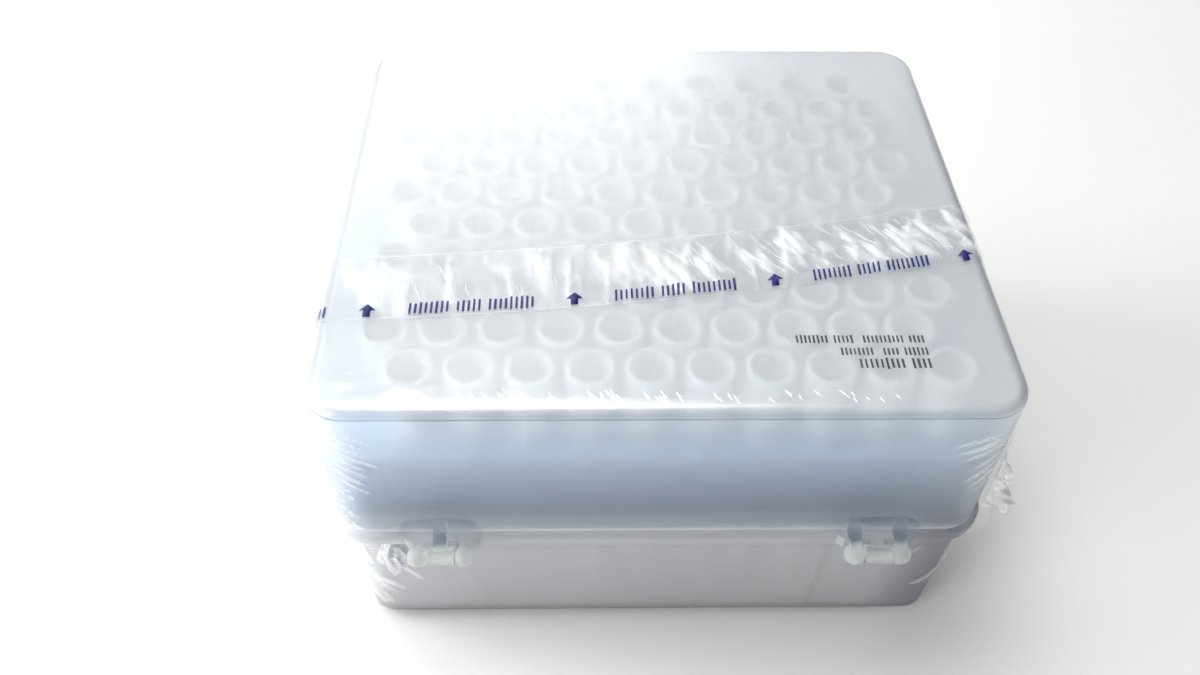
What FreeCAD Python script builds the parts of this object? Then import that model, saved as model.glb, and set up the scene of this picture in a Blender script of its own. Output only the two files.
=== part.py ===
import FreeCAD, Part

import math
import os

import Sketcher

# A hinged, frosted box of pipette tips in its shrink film. +Z is up and the bench is at z = 0. The origin
# is under the middle of the box, the hinges are at -Y and the opening side is at +Y. Lengths are in
# millimetres.

SIZES = [
    # alias, value, meaning
    ("lid_width", 130.0, "outside width of the lid, along X"),
    ("lid_depth", 114.5, "outside depth of the lid, along Y"),
    ("corner_radius", 8.0, "upright corners of the lid"),
    ("seam_height", 37.7, "bench to the ledge that the lid sits on"),
    ("lid_height", 37.5, "ledge to the top of the lid"),
    ("lid_wall", 1.5, "side wall of the lid"),
    ("lid_roof", 1.5, "roof of the lid"),
    ("lid_edge_radius", 2.0, "rounding round the top of the lid"),
    ("lid_inner_radius", 0.8, "rounding inside the lid's roof"),
    ("seam_gap", 0.1, "lid's rim to the ledge"),
    ("flange_reach", 1.1, "how far the ledge stands out past the lid"),
    ("flange_height", 3.0, "height of the tray's outer flange"),
    ("flange_edge_radius", 0.4, "rounding on the flange"),
    ("lip_gap", 0.4, "lid wall to the lip that stands inside it"),
    ("lip_wall", 1.0, "thickness of the lip"),
    ("lip_height", 3.0, "height of the lip above the ledge"),
    ("tray_inset_top", 0.9, "tray wall in from the lid's face, under the flange"),
    ("tray_inset_foot", 2.0, "tray wall in from the lid's face, at the foot"),
    ("tray_wall_foot", 1.7, "tray wall at the foot"),
    ("tray_floor", 1.6, "floor of the tray"),
    ("foot_radius", 2.5, "rounding round the foot of the tray"),
    ("foot_rise", 4.0, "upright stretch of the tray's wall above the foot"),
    ("notch_width", 24.0, "thumb notch in the flange"),
    ("rib_width", 2.0, "ribs inside the tray that carry the rack"),
    ("rib_seat_height", 33.0, "bench to the top of those ribs"),
    ("rib_ledge", 0.5, "ribs past the inside of the rack's skirt"),
    ("rib_spread_x", 36.0, "ribs on the long walls, out from the middle"),
    ("rib_spread_y", 30.0, "ribs on the short walls, out from the middle"),
    ("rack_gap", 0.2, "rack's skirt to the tray's lip"),
    ("rack_wall", 1.5, "skirt of the rack"),
    ("rack_deck", 2.0, "deck of the rack"),
    ("rack_edge_radius", 1.0, "rounding round the deck"),
    ("tip_pitch", 11.1, "tip to tip along a row"),
    ("row_pitch", 9.9, "row to row"),
    ("tips_per_row", 10, "tips in a row"),
    ("row_count", 10, "rows of tips"),
    ("tip_length", 70.0, "rim to point of a tip"),
    ("tip_headroom", 1.0, "lid's roof to the rims of the tips"),
    ("collar_length", 14.0, "rim to the shoulder that hangs on the deck"),
    ("collar_radius", 4.7, "collar at the rim"),
    ("shoulder_radius", 4.55, "collar at the shoulder"),
    ("rim_chamfer", 0.3, "chamfer on the rim"),
    ("stem_radius", 3.9, "stem just under the shoulder"),
    ("stem_fit", 0.2, "stem to the wall of its hole in the deck"),
    ("waist_drop", 42.0, "rim to the waist of the stem"),
    ("waist_radius", 2.9, "stem at the waist"),
    ("point_radius", 0.65, "outside of the point"),
    ("mouth_radius", 3.85, "bore at the rim"),
    ("bore_waist_radius", 2.2, "bore at the waist"),
    ("orifice_radius", 0.35, "bore at the point"),
    ("hinge_spread", 43.2, "hinges out from the middle"),
    ("hinge_offset", 4.7, "hinge axis out from the lid's face"),
    ("hinge_drop", 1.5, "hinge axis below the ledge"),
    ("knuckle_radius", 2.15, "round outer knuckles"),
    ("knuckle_spread", 4.5, "outer knuckles out from the middle of their hinge"),
    ("knuckle_gap", 0.15, "outer knuckle to the end of the barrel"),
    ("barrel_radius", 1.85, "middle knuckle"),
    ("barrel_length", 5.0, "length of the middle knuckle"),
    ("pin_radius", 0.8, "stub pin on an outer knuckle"),
    ("pin_fit", 0.05, "stub pin to its bore"),
    ("pin_length", 1.9, "stub pin out of its knuckle"),
    ("arm_width", 2.6, "hinge arm of a barrel"),
    ("side_arm_width", 2.2, "hinge arm of an outer knuckle"),
    ("arm_rise", 5.0, "lid's hinge arms up its wall"),
    ("arm_gap", 0.3, "lid's hinge arms to the ledge"),
    ("arm_root", 1.0, "hinge arms into the wall that carries them"),
    ("bracket_width", 15.0, "tray's hinge bracket at the flange"),
    ("bracket_reach", 1.1, "bracket out past the flange"),
    ("bracket_slant", 1.2, "slant of the bracket's ends"),
    ("film_gap", 0.1, "film to the plastic under it"),
    ("film_thickness", 0.2, "shrink film"),
    ("film_seam_gap", 0.3, "film to the top of the ledge, where it is parted"),
    ("film_shoulder", 6.0, "upright stretch of film under the top of the lid"),
    ("film_knee_drop", 8.0, "ledge to where the film lies on the tray again"),
    ("window_width", 16.0, "hole that the film leaves round a hinge"),
    ("window_rise", 6.3, "that hole above the ledge"),
    ("window_drop", 5.2, "that hole below the ledge"),
    ("ear_place", -53.0, "loose ear of film, along Y"),
    ("ear_thickness", 0.6, "doubled film of the ear"),
    ("ear_top", 20.0, "top of the ear above the ledge"),
    ("ear_tip_height", 4.0, "tip of the ear above the ledge"),
    ("ear_foot", 1.0, "foot of the ear above the ledge"),
    ("ear_reach", 6.3, "tip of the ear out past the lid's face"),
    ("ear_foot_reach", 2.4, "foot of the ear out past the lid's face"),
    ("wad_place", 54.0, "gathered film by a hinge, out from the middle"),
    ("wad_drop", 10.0, "middle of that wad below the ledge"),
    ("wad_width", 8.0, "width of the wad"),
    ("wad_height", 13.0, "height of the wad"),
    ("wad_bulge", 3.6, "how far the wad stands out of the film"),
    ("tape_gap", 0.05, "pull tape to the film"),
    ("tape_thickness", 0.15, "pull tape"),
    ("tape_start", -36.0, "near edge of the tape at the -X side"),
    ("tape_end", -17.5, "near edge of the tape at the +X side"),
    ("tape_width", 17.5, "width of the tape"),
    ("tape_bend_radius", 800.0, "sweep of the tape across the lid"),
    ("tape_foot_gap", 6.0, "end of the tape above the bench"),
]

DOC = FreeCAD.newDocument("TipBox")
SHEET = DOC.addObject("Spreadsheet::Sheet", "Sizes")
for row_number, (alias, value, meaning) in enumerate(SIZES, start=1):
    SHEET.set(f"A{row_number}", meaning)
    SHEET.set(f"B{row_number}", str(value))
    SHEET.setAlias(f"B{row_number}", alias)
DOC.recompute()


class Length:
    """A length and the text of its expression on the sheet, which keeps a sketch bound to the sheet."""

    def __init__(self, text, value):
        self.text = text
        self.value = float(value)

    def __add__(self, other):
        other = as_length(other)
        return Length(f"({self.text} + {other.text})", self.value + other.value)

    def __sub__(self, other):
        other = as_length(other)
        return Length(f"({self.text} - {other.text})", self.value - other.value)

    def __mul__(self, other):
        other = as_length(other)
        return Length(f"({self.text} * {other.text})", self.value * other.value)

    def __truediv__(self, other):
        other = as_length(other)
        return Length(f"({self.text} / {other.text})", self.value / other.value)

    def __neg__(self):
        return Length(f"(-1 * {self.text})", -self.value)


def as_length(amount):
    return amount if isinstance(amount, Length) else Length(repr(amount), amount)


def size(alias):
    return Length(f"Sizes.{alias}", SHEET.get(alias))


ZERO = as_length(0)
HALF_WIDTH = size("lid_width") / 2
HALF_DEPTH = size("lid_depth") / 2
TRAY_FOOT = size("film_thickness") + size("film_gap")
TRAY_DRAFT_START = TRAY_FOOT + size("foot_rise")
SEAM = size("seam_height")
LID_FOOT = SEAM + size("seam_gap")
LID_TOP = SEAM + size("lid_height")
ROOF_UNDERSIDE = LID_TOP - size("lid_roof")
RIM_HEIGHT = ROOF_UNDERSIDE - size("tip_headroom")
DECK_TOP = RIM_HEIGHT - size("collar_length")
HINGE_Y = -(HALF_DEPTH + size("hinge_offset"))
HINGE_Z = SEAM - size("hinge_drop")
LIP_OUTER = size("lid_wall") + size("lip_gap")
LIP_INNER = LIP_OUTER + size("lip_wall")
RACK_OUTER = LIP_INNER + size("rack_gap")
RACK_INNER = RACK_OUTER + size("rack_wall")
RIB_TIP = RACK_INNER + size("rib_ledge")
FLANGE_INSET = -size("flange_reach")
TOUCH = 1e-4  # how closely an edge has to lie at a height to be picked


def new_body(label):
    body = DOC.addObject("PartDesign::Body", label)
    body.Label = label
    return body


def origin_plane(body, role):
    return next(feature for feature in body.Origin.OriginFeatures if feature.Role == role)


def new_sketch(body, name, plane="XY_Plane", origin=(ZERO, ZERO, ZERO)):
    """A sketch on one of the body's origin planes. origin moves it along the sketch's own X, Y and normal."""
    sketch = body.newObject("Sketcher::SketchObject", name)
    sketch.AttachmentSupport = [(origin_plane(body, plane), "")]
    sketch.MapMode = "FlatFace"
    for letter, amount in zip("xyz", origin):
        sketch.setExpression(f"AttachmentOffset.Base.{letter}", amount.text)
    return sketch


def bind(sketch, constraint, amount):
    """Adds a constraint whose datum is the length amount."""
    index = sketch.addConstraint(Sketcher.Constraint(*constraint, amount.value))
    name = f"c{index}"
    sketch.renameConstraint(index, name)
    sketch.setExpression(f"Constraints.{name}", amount.text)


def pin(sketch, element, vertex, x, y):
    """Holds one vertex of a sketch at (x, y)."""
    bind(sketch, ("DistanceX", -1, 1, element, vertex), x)
    bind(sketch, ("DistanceY", -1, 1, element, vertex), y)


def flat_point(point):
    return FreeCAD.Vector(point[0].value, point[1].value, 0)


def add_outline(sketch, points):
    """A closed outline of straight lines through points, each a pair of lengths."""
    first = sketch.GeometryCount
    count = len(points)
    for index, point in enumerate(points):
        following = points[(index + 1) % count]
        sketch.addGeometry(Part.LineSegment(flat_point(point), flat_point(following)))
    for index, point in enumerate(points):
        following = first + (index + 1) % count
        sketch.addConstraint(Sketcher.Constraint("Coincident", first + index, 2, following, 1))
        pin(sketch, first + index, 1, *point)


def add_circle(sketch, x, y, radius):
    centre = FreeCAD.Vector(x.value, y.value, 0)
    circle = sketch.addGeometry(Part.Circle(centre, FreeCAD.Vector(0, 0, 1), radius.value))
    pin(sketch, circle, 3, x, y)
    bind(sketch, ("Radius", circle), radius)


def rounded_outline(body, name, height, inset):
    """The box's plan at a height, moved in from the lid's side faces by inset, with rounded corners."""
    sketch = new_sketch(body, name, origin=(ZERO, ZERO, height))
    half_x = HALF_WIDTH - inset
    half_y = HALF_DEPTH - inset
    radius = size("corner_radius") - inset
    x, y, r = half_x.value, half_y.value, radius.value
    corners = [(x - r, r - y, -90), (x - r, y - r, 0), (r - x, y - r, 90), (r - x, r - y, 180)]
    arcs = []
    for centre_x, centre_y, start in corners:
        circle = Part.Circle(FreeCAD.Vector(centre_x, centre_y, 0), FreeCAD.Vector(0, 0, 1), r)
        corner = Part.ArcOfCircle(circle, math.radians(start), math.radians(start + 90))
        arcs.append(sketch.addGeometry(corner))
    for index, arc in enumerate(arcs):
        following = arcs[(index + 1) % len(arcs)]
        start = sketch.getPoint(arc, 2)
        line = sketch.addGeometry(Part.LineSegment(start, sketch.getPoint(following, 1)))
        sketch.addConstraint(Sketcher.Constraint("Tangent", arc, 2, line, 1))
        sketch.addConstraint(Sketcher.Constraint("Tangent", line, 2, following, 1))
        upright = index % 2 == 0
        sketch.addConstraint(Sketcher.Constraint("Vertical" if upright else "Horizontal", line))
    for arc in arcs[1:]:
        sketch.addConstraint(Sketcher.Constraint("Equal", arcs[0], arc))
    sketch.addConstraint(Sketcher.Constraint("Symmetric", arcs[0], 3, arcs[2], 3, -1, 1))
    bind(sketch, ("Radius", arcs[0]), radius)
    bind(sketch, ("DistanceX", -1, 1, arcs[0], 3), half_x - radius)
    bind(sketch, ("DistanceY", arcs[0], 3, -1, 1), half_y - radius)
    return sketch


def add_pad(body, name, sketch, length, midplane=False, upward=True):
    pad = body.newObject("PartDesign::Pad", name)
    pad.Profile = sketch
    pad.setExpression("Length", length.text)
    pad.Midplane = midplane
    pad.Reversed = not upward
    return settled(pad)


def add_pocket(body, name, sketch, length, upward=False):
    """Cuts the sketch's outline for length along its normal, or against it when upward is false."""
    before = body.Shape.Volume
    pocket = body.newObject("PartDesign::Pocket", name)
    pocket.Profile = sketch
    pocket.setExpression("Length", length.text)
    pocket.Reversed = upward
    settled(pocket)
    if pocket.Shape.Volume >= before:
        raise RuntimeError(f"{name} cuts nothing")
    return pocket


def add_loft(body, name, sketches, cut=False):
    """A ruled loft through the sketches, added to the body or cut out of it."""
    before = body.Shape.Volume if cut else 0.0
    loft = body.newObject("PartDesign::SubtractiveLoft" if cut else "PartDesign::AdditiveLoft", name)
    loft.Profile = sketches[0]
    loft.Sections = sketches[1:]
    loft.Ruled = True
    settled(loft)
    if cut and loft.Shape.Volume >= before:
        raise RuntimeError(f"{name} cuts nothing")
    return loft


def add_turning(body, name, sketch, cut=False):
    """A full turn of the sketch about its own horizontal axis."""
    turning = body.newObject("PartDesign::Groove" if cut else "PartDesign::Revolution", name)
    turning.Profile = sketch
    turning.ReferenceAxis = (sketch, ["H_Axis"])
    turning.Angle = 360.0
    return settled(turning)


def settled(feature):
    DOC.recompute()
    return feature


def round_edges(body, name, radius, wanted):
    """Rounds the edges for which wanted(edge) is true."""
    base = body.Tip
    edges = [f"Edge{number}" for number, edge in enumerate(base.Shape.Edges, start=1) if wanted(edge)]
    fillet = body.newObject("PartDesign::Fillet", name)
    fillet.Base = (base, edges)
    fillet.setExpression("Radius", radius.text)
    return settled(fillet)


def lies_at(height):
    """A test for edges that lie flat at a height."""

    def wanted(edge):
        box = edge.BoundBox
        return max(abs(box.ZMin - height.value), abs(box.ZMax - height.value)) < TOUCH

    return wanted


def stands_out(edge):
    """Whether an edge lies outside the lid's side faces."""
    box = edge.BoundBox
    past_x = max(abs(box.XMin), abs(box.XMax)) - HALF_WIDTH.value
    past_y = max(abs(box.YMin), abs(box.YMax)) - HALF_DEPTH.value
    return max(past_x, past_y) > TOUCH


def mirror_across(body, name, plane):
    mirror = body.newObject("PartDesign::Mirrored", f"{name}_{plane[:2]}")
    mirror.MirrorPlane = (origin_plane(body, plane), "")
    return mirror


def line_pattern(body, name, sketch, axis, step, count):
    """A pattern along one axis of a sketch. count is the text of its expression."""
    pattern = body.newObject("PartDesign::LinearPattern", name)
    pattern.Direction = (sketch, [axis])
    pattern.Mode = "Spacing"
    pattern.setExpression("Offset", step.text)
    pattern.setExpression("Occurrences", count)
    return pattern


def repeated(body, name, original, steps):
    """Repeats a feature by each of the steps in turn."""
    pattern = body.newObject("PartDesign::MultiTransform", name)
    pattern.Originals = [original]
    pattern.Transformations = steps
    body.Tip = pattern
    return settled(pattern)


def add_barrel(body, name, hinge_x):
    """The hinge's middle knuckle, turned about the hinge axis."""
    sketch = new_sketch(body, f"{name}_profile", origin=(hinge_x, HINGE_Y, HINGE_Z))
    half = size("barrel_length") / 2
    radius = size("barrel_radius")
    add_outline(sketch, [(-half, ZERO), (half, ZERO), (half, radius), (-half, radius)])
    add_turning(body, name, sketch)


def add_bore(body, name, hinge_x):
    """The bore through the middle knuckle for both stub pins."""
    sketch = new_sketch(body, f"{name}_profile", origin=(hinge_x, HINGE_Y, HINGE_Z))
    half = size("barrel_length") / 2 + size("knuckle_gap") / 2
    radius = size("pin_radius") + size("pin_fit")
    add_outline(sketch, [(-half, ZERO), (half, ZERO), (half, radius), (-half, radius)])
    add_turning(body, name, sketch, cut=True)


def add_knuckle(body, name, hinge_x, side):
    """A round outer knuckle, cut flat beside the barrel, with its stub pin. side is +1 or -1 along X."""
    sketch = new_sketch(body, f"{name}_profile", origin=(hinge_x, HINGE_Y, HINGE_Z))
    face = (size("barrel_length") / 2 + size("knuckle_gap")) * side
    centre = size("knuckle_spread") * side
    radius = size("knuckle_radius")
    flat_angle = math.acos((face.value - centre.value) / radius.value)
    flat_height = radius.value * math.sin(flat_angle)
    round_end = FreeCAD.Vector(centre.value + side * radius.value, 0, 0)
    flat_foot = FreeCAD.Vector(face.value, 0, 0)
    flat_top = FreeCAD.Vector(face.value, flat_height, 0)
    circle = Part.Circle(FreeCAD.Vector(centre.value, 0, 0), FreeCAD.Vector(0, 0, 1), radius.value)
    round_angle = 0.0 if side > 0 else math.pi
    axis_line = sketch.addGeometry(Part.LineSegment(round_end, flat_foot))
    flat_line = sketch.addGeometry(Part.LineSegment(flat_foot, flat_top))
    arc = sketch.addGeometry(Part.ArcOfCircle(circle, *sorted((flat_angle, round_angle))))
    flat_vertex, round_vertex = (2, 1) if side > 0 else (1, 2)
    sketch.addConstraint(Sketcher.Constraint("Coincident", axis_line, 2, flat_line, 1))
    sketch.addConstraint(Sketcher.Constraint("Coincident", flat_line, 2, arc, flat_vertex))
    sketch.addConstraint(Sketcher.Constraint("Coincident", arc, round_vertex, axis_line, 1))
    sketch.addConstraint(Sketcher.Constraint("PointOnObject", axis_line, 1, -1))
    sketch.addConstraint(Sketcher.Constraint("PointOnObject", axis_line, 2, -1))
    sketch.addConstraint(Sketcher.Constraint("PointOnObject", arc, 3, -1))
    sketch.addConstraint(Sketcher.Constraint("Vertical", flat_line))
    bind(sketch, ("Radius", arc), radius)
    bind(sketch, ("DistanceX", -1, 1, arc, 3), centre)
    bind(sketch, ("DistanceX", -1, 1, flat_line, 1), face)
    add_turning(body, name, sketch)
    stub_start = face - size("pin_length") * side
    stub = new_sketch(body, f"{name}_pin_section", "YZ_Plane", (HINGE_Y, HINGE_Z, hinge_x + stub_start))
    add_circle(stub, ZERO, ZERO, size("pin_radius"))
    add_pad(body, f"{name}_pin", stub, size("pin_length") + size("pin_radius"), upward=side > 0)


def add_lid_arm(body, name, arm_x, width):
    """A gusset from the lid's wall over the ledge to a knuckle."""
    sketch = new_sketch(body, f"{name}_section", "YZ_Plane", (HINGE_Y, HINGE_Z, arm_x))
    root = size("hinge_offset") + size("arm_root")
    under = size("hinge_drop") + size("arm_gap")
    inner = size("hinge_offset") - size("flange_reach") - size("bracket_reach") - size("arm_gap") * 2
    points = [
        (ZERO, ZERO),
        (inner, under),
        (root, under),
        (root, size("hinge_drop") + size("arm_rise")),
        (ZERO, size("barrel_radius")),
    ]
    add_outline(sketch, points)
    add_pad(body, name, sketch, width, midplane=True)


def add_tray_arm(body, name, arm_x, width):
    """A short arm from the hinge bracket to a knuckle."""
    sketch = new_sketch(body, f"{name}_section", "YZ_Plane", (HINGE_Y, HINGE_Z, arm_x))
    root = size("hinge_offset") - size("flange_reach")
    half = size("flange_height") / 2
    add_outline(sketch, [(ZERO, -half), (root, -half), (root, half), (ZERO, half)])
    add_pad(body, name, sketch, width, midplane=True)


def add_bracket(body, name, hinge_x):
    """The flange's wider stretch at a hinge, with slanted ends."""
    sketch = new_sketch(body, f"{name}_plan", origin=(hinge_x, ZERO, SEAM - size("flange_height")))
    half = size("bracket_width") / 2
    tip_half = half - size("bracket_slant")
    flange_y = -(HALF_DEPTH + size("flange_reach"))
    tip_y = flange_y - size("bracket_reach")
    root_y = flange_y + size("arm_root")
    points = [
        (-half, root_y),
        (-half, flange_y),
        (-tip_half, tip_y),
        (tip_half, tip_y),
        (half, flange_y),
        (half, root_y),
    ]
    add_outline(sketch, points)
    add_pad(body, name, sketch, size("flange_height"))


def hinge_places():
    """The middle of each hinge along X: at -X the barrel is on the lid, at +X it is on the tray."""
    return -size("hinge_spread"), size("hinge_spread")


def make_lid():
    body = new_body("lid")
    outer = rounded_outline(body, "lid_plan", LID_FOOT, ZERO)
    add_pad(body, "lid_block", outer, LID_TOP - LID_FOOT)
    round_edges(body, "lid_edge", size("lid_edge_radius"), lies_at(LID_TOP))
    inner = rounded_outline(body, "lid_inner_plan", LID_FOOT, size("lid_wall"))
    add_pocket(body, "lid_hollow", inner, ROOF_UNDERSIDE - LID_FOOT, upward=True)
    round_edges(body, "lid_inner_edge", size("lid_inner_radius"), lies_at(ROOF_UNDERSIDE))
    barrel_x, pair_x = hinge_places()
    add_lid_arm(body, "barrel_arm", barrel_x, size("arm_width"))
    add_barrel(body, "barrel", barrel_x)
    add_bore(body, "bore", barrel_x)
    for side, name in ((-1, "inner"), (1, "outer")):
        add_lid_arm(body, f"{name}_arm", pair_x + size("knuckle_spread") * side, size("side_arm_width"))
        add_knuckle(body, f"{name}_knuckle", pair_x, side)
    return body


def make_tray():
    body = new_body("base_tray")
    foot = rounded_outline(body, "foot_plan", TRAY_FOOT, size("tray_inset_foot"))
    add_pad(body, "foot", foot, TRAY_DRAFT_START - TRAY_FOOT)
    round_edges(body, "foot_edge", size("foot_radius"), lies_at(TRAY_FOOT))
    wall_foot = rounded_outline(body, "wall_foot_plan", TRAY_DRAFT_START, size("tray_inset_foot"))
    wall_top = rounded_outline(body, "wall_top_plan", SEAM, size("tray_inset_top"))
    add_loft(body, "wall", [wall_foot, wall_top])
    flange = rounded_outline(body, "flange_plan", SEAM - size("flange_height"), FLANGE_INSET)
    add_pad(body, "flange", flange, size("flange_height"))
    flat = [lies_at(level) for level in (SEAM, SEAM - size("flange_height"))]
    round_edges(
        body,
        "flange_edge",
        size("flange_edge_radius"),
        lambda edge: stands_out(edge) and any(test(edge) for test in flat),
    )
    notch = new_sketch(body, "notch_plan", origin=(ZERO, ZERO, SEAM))
    half = size("notch_width") / 2
    notch_end = HALF_DEPTH + size("flange_reach") * 2
    add_outline(notch, [(-half, HALF_DEPTH), (half, HALF_DEPTH), (half, notch_end), (-half, notch_end)])
    add_pocket(body, "thumb_notch", notch, size("flange_height"))
    lip = rounded_outline(body, "lip_plan", SEAM - size("flange_height"), LIP_OUTER)
    add_pad(body, "lip", lip, size("flange_height") + size("lip_height"))
    floor_level = TRAY_FOOT + size("tray_floor")
    well_inset = size("tray_inset_foot") + size("tray_wall_foot")
    well_foot = rounded_outline(body, "well_foot_plan", floor_level, well_inset)
    well_top = rounded_outline(body, "well_top_plan", SEAM + size("lip_height"), LIP_INNER)
    add_loft(body, "well", [well_foot, well_top], cut=True)
    add_ribs(body, floor_level)
    barrel_x, pair_x = hinge_places()
    for name, hinge_x in (("left", barrel_x), ("right", pair_x)):
        add_bracket(body, f"{name}_bracket", hinge_x)
    for side, name in ((-1, "outer"), (1, "inner")):
        add_tray_arm(body, f"{name}_arm", barrel_x + size("knuckle_spread") * side, size("side_arm_width"))
        add_knuckle(body, f"{name}_knuckle", barrel_x, side)
    add_tray_arm(body, "barrel_arm", pair_x, size("arm_width"))
    add_barrel(body, "barrel", pair_x)
    add_bore(body, "bore", pair_x)
    return body


def add_ribs(body, floor_level):
    """Upright ribs inside the tray's walls, two to a wall, that carry the rack's skirt."""
    root_inset = size("tray_inset_foot") + (floor_level - TRAY_FOOT) / 2
    half = size("rib_width") / 2
    start = floor_level - size("tray_floor") / 2
    spread_x, spread_y = size("rib_spread_x"), size("rib_spread_y")
    long_wall = [
        (spread_x - half, -(HALF_DEPTH - root_inset)),
        (spread_x + half, -(HALF_DEPTH - root_inset)),
        (spread_x + half, -(HALF_DEPTH - RIB_TIP)),
        (spread_x - half, -(HALF_DEPTH - RIB_TIP)),
    ]
    short_wall = [
        (HALF_WIDTH - RIB_TIP, spread_y - half),
        (HALF_WIDTH - root_inset, spread_y - half),
        (HALF_WIDTH - root_inset, spread_y + half),
        (HALF_WIDTH - RIB_TIP, spread_y + half),
    ]
    for name, points in (("long_wall_rib", long_wall), ("short_wall_rib", short_wall)):
        sketch = new_sketch(body, f"{name}_plan", origin=(ZERO, ZERO, start))
        add_outline(sketch, points)
        rib = add_pad(body, name, sketch, size("rib_seat_height") - start)
        mirrors = [mirror_across(body, f"{name}s", plane) for plane in ("XZ_Plane", "YZ_Plane")]
        repeated(body, f"{name}s", rib, mirrors)


def tip_start_x(row):
    """The first tip of a row along X: each row is moved a quarter of the pitch one way or the other."""
    quarter = size("tip_pitch") / 4
    first = -(size("tips_per_row") - 1) / 2 * size("tip_pitch")
    return first + quarter if row % 2 == 0 else first - quarter


def row_y(row):
    """A row's place along Y, counted from the hinge side."""
    return (ZERO - (size("row_count") - 1) / 2 + row) * size("row_pitch")


def make_rack():
    body = new_body("tip_rack")
    skirt_foot = size("rib_seat_height")
    outer = rounded_outline(body, "rack_plan", skirt_foot, RACK_OUTER)
    add_pad(body, "rack_block", outer, DECK_TOP - skirt_foot)
    round_edges(body, "deck_edge", size("rack_edge_radius"), lies_at(DECK_TOP))
    inner = rounded_outline(body, "rack_inner_plan", skirt_foot, RACK_INNER)
    add_pocket(body, "rack_hollow", inner, DECK_TOP - size("rack_deck") - skirt_foot, upward=True)
    for first_row, name in enumerate(("near_holes", "far_holes")):
        sketch = new_sketch(body, f"{name}_plan", origin=(ZERO, ZERO, DECK_TOP))
        add_circle(sketch, tip_start_x(first_row), row_y(first_row), size("stem_radius") + size("stem_fit"))
        hole = add_pocket(body, name, sketch, size("rack_deck"))
        in_row = size("tips_per_row").text
        rows = f"floor(({size('row_count').text} + {1 - first_row}) / 2)"
        steps = [
            line_pattern(body, f"{name}_across", sketch, "H_Axis", size("tip_pitch"), in_row),
            line_pattern(body, f"{name}_along", sketch, "V_Axis", size("row_pitch") * 2, rows),
        ]
        repeated(body, f"{name}_grid", hole, steps)
    return body


def make_tip_row(row):
    """One row of hollow tips, hanging by their collars on the deck."""
    body = new_body(f"tip_row_{row + 1:02d}")
    place = (tip_start_x(row), RIM_HEIGHT, -row_y(row))
    sketch = new_sketch(body, f"tip_profile_{row + 1:02d}", "XZ_Plane", place)
    waist = -size("waist_drop")
    end = -size("tip_length")
    shoulder = -size("collar_length")
    points = [
        (size("mouth_radius"), ZERO),
        (size("collar_radius") - size("rim_chamfer"), ZERO),
        (size("collar_radius"), -size("rim_chamfer")),
        (size("shoulder_radius"), shoulder),
        (size("stem_radius"), shoulder),
        (size("waist_radius"), waist),
        (size("point_radius"), end),
        (size("orifice_radius"), end),
        (size("bore_waist_radius"), waist),
    ]
    add_outline(sketch, points)
    tip = body.newObject("PartDesign::Revolution", f"tip_{row + 1:02d}")
    tip.Profile = sketch
    tip.ReferenceAxis = (sketch, ["V_Axis"])
    tip.Angle = 360.0
    settled(tip)
    count = size("tips_per_row").text
    across = line_pattern(body, f"tips_across_{row + 1:02d}", sketch, "H_Axis", size("tip_pitch"), count)
    repeated(body, f"tips_{row + 1:02d}", tip, [across])
    return body


def tray_inset(height):
    """The tray's drafted wall at a height, in from the lid's face."""
    fall = size("tray_inset_foot") - size("tray_inset_top")
    return size("tray_inset_foot") - fall * (height - TRAY_DRAFT_START) / (SEAM - TRAY_DRAFT_START)


def make_lid_cover(label, offset):
    """A block that covers the lid, offset out from its faces and flared at the foot to pass the ledge."""
    body = new_body(label)
    shoulder = LID_TOP - size("film_shoulder")
    top = rounded_outline(body, f"{label}_top_plan", shoulder, -offset)
    add_pad(body, f"{label}_top", top, LID_TOP + offset - shoulder)
    round_edges(body, f"{label}_edge", size("lid_edge_radius") + offset, lies_at(LID_TOP + offset))
    flare = rounded_outline(body, f"{label}_foot_plan", SEAM + size("film_seam_gap"), FLANGE_INSET - offset)
    middle = rounded_outline(body, f"{label}_shoulder_plan", shoulder, -offset)
    add_loft(body, f"{label}_skirt", [flare, middle])
    return body


def make_tray_cover(label, offset):
    """A block that covers the tray: it hugs the flange, closes in under it and follows the wall down."""
    body = new_body(label)
    foot = rounded_outline(body, f"{label}_foot_plan", TRAY_FOOT - offset, size("tray_inset_foot") - offset)
    add_pad(body, f"{label}_foot", foot, TRAY_DRAFT_START - TRAY_FOOT + offset)
    round_edges(body, f"{label}_edge", size("foot_radius") + offset, lies_at(TRAY_FOOT - offset))
    knee = SEAM - size("film_knee_drop")
    levels = [
        (TRAY_DRAFT_START, size("tray_inset_foot") - offset),
        (knee, tray_inset(knee) - offset),
        (SEAM - size("flange_height") - offset, FLANGE_INSET - offset),
        (SEAM - size("film_seam_gap"), FLANGE_INSET - offset),
    ]
    plans = [rounded_outline(body, f"{label}_plan_{n}", *level) for n, level in enumerate(levels)]
    add_loft(body, f"{label}_wall", plans)
    return body


def cut_windows(body, name, foot, top):
    """Cuts the hole that the film leaves round each hinge."""
    reach = size("flange_reach") * 2
    sketch = new_sketch(body, f"{name}_section", "XZ_Plane", (ZERO, ZERO, HALF_DEPTH + reach))
    half = size("window_width") / 2
    for middle in hinge_places():
        left, right = middle - half, middle + half
        add_outline(sketch, [(left, foot), (right, foot), (right, top), (left, top)])
    add_pocket(body, name, sketch, reach + size("tray_inset_foot"))


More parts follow.
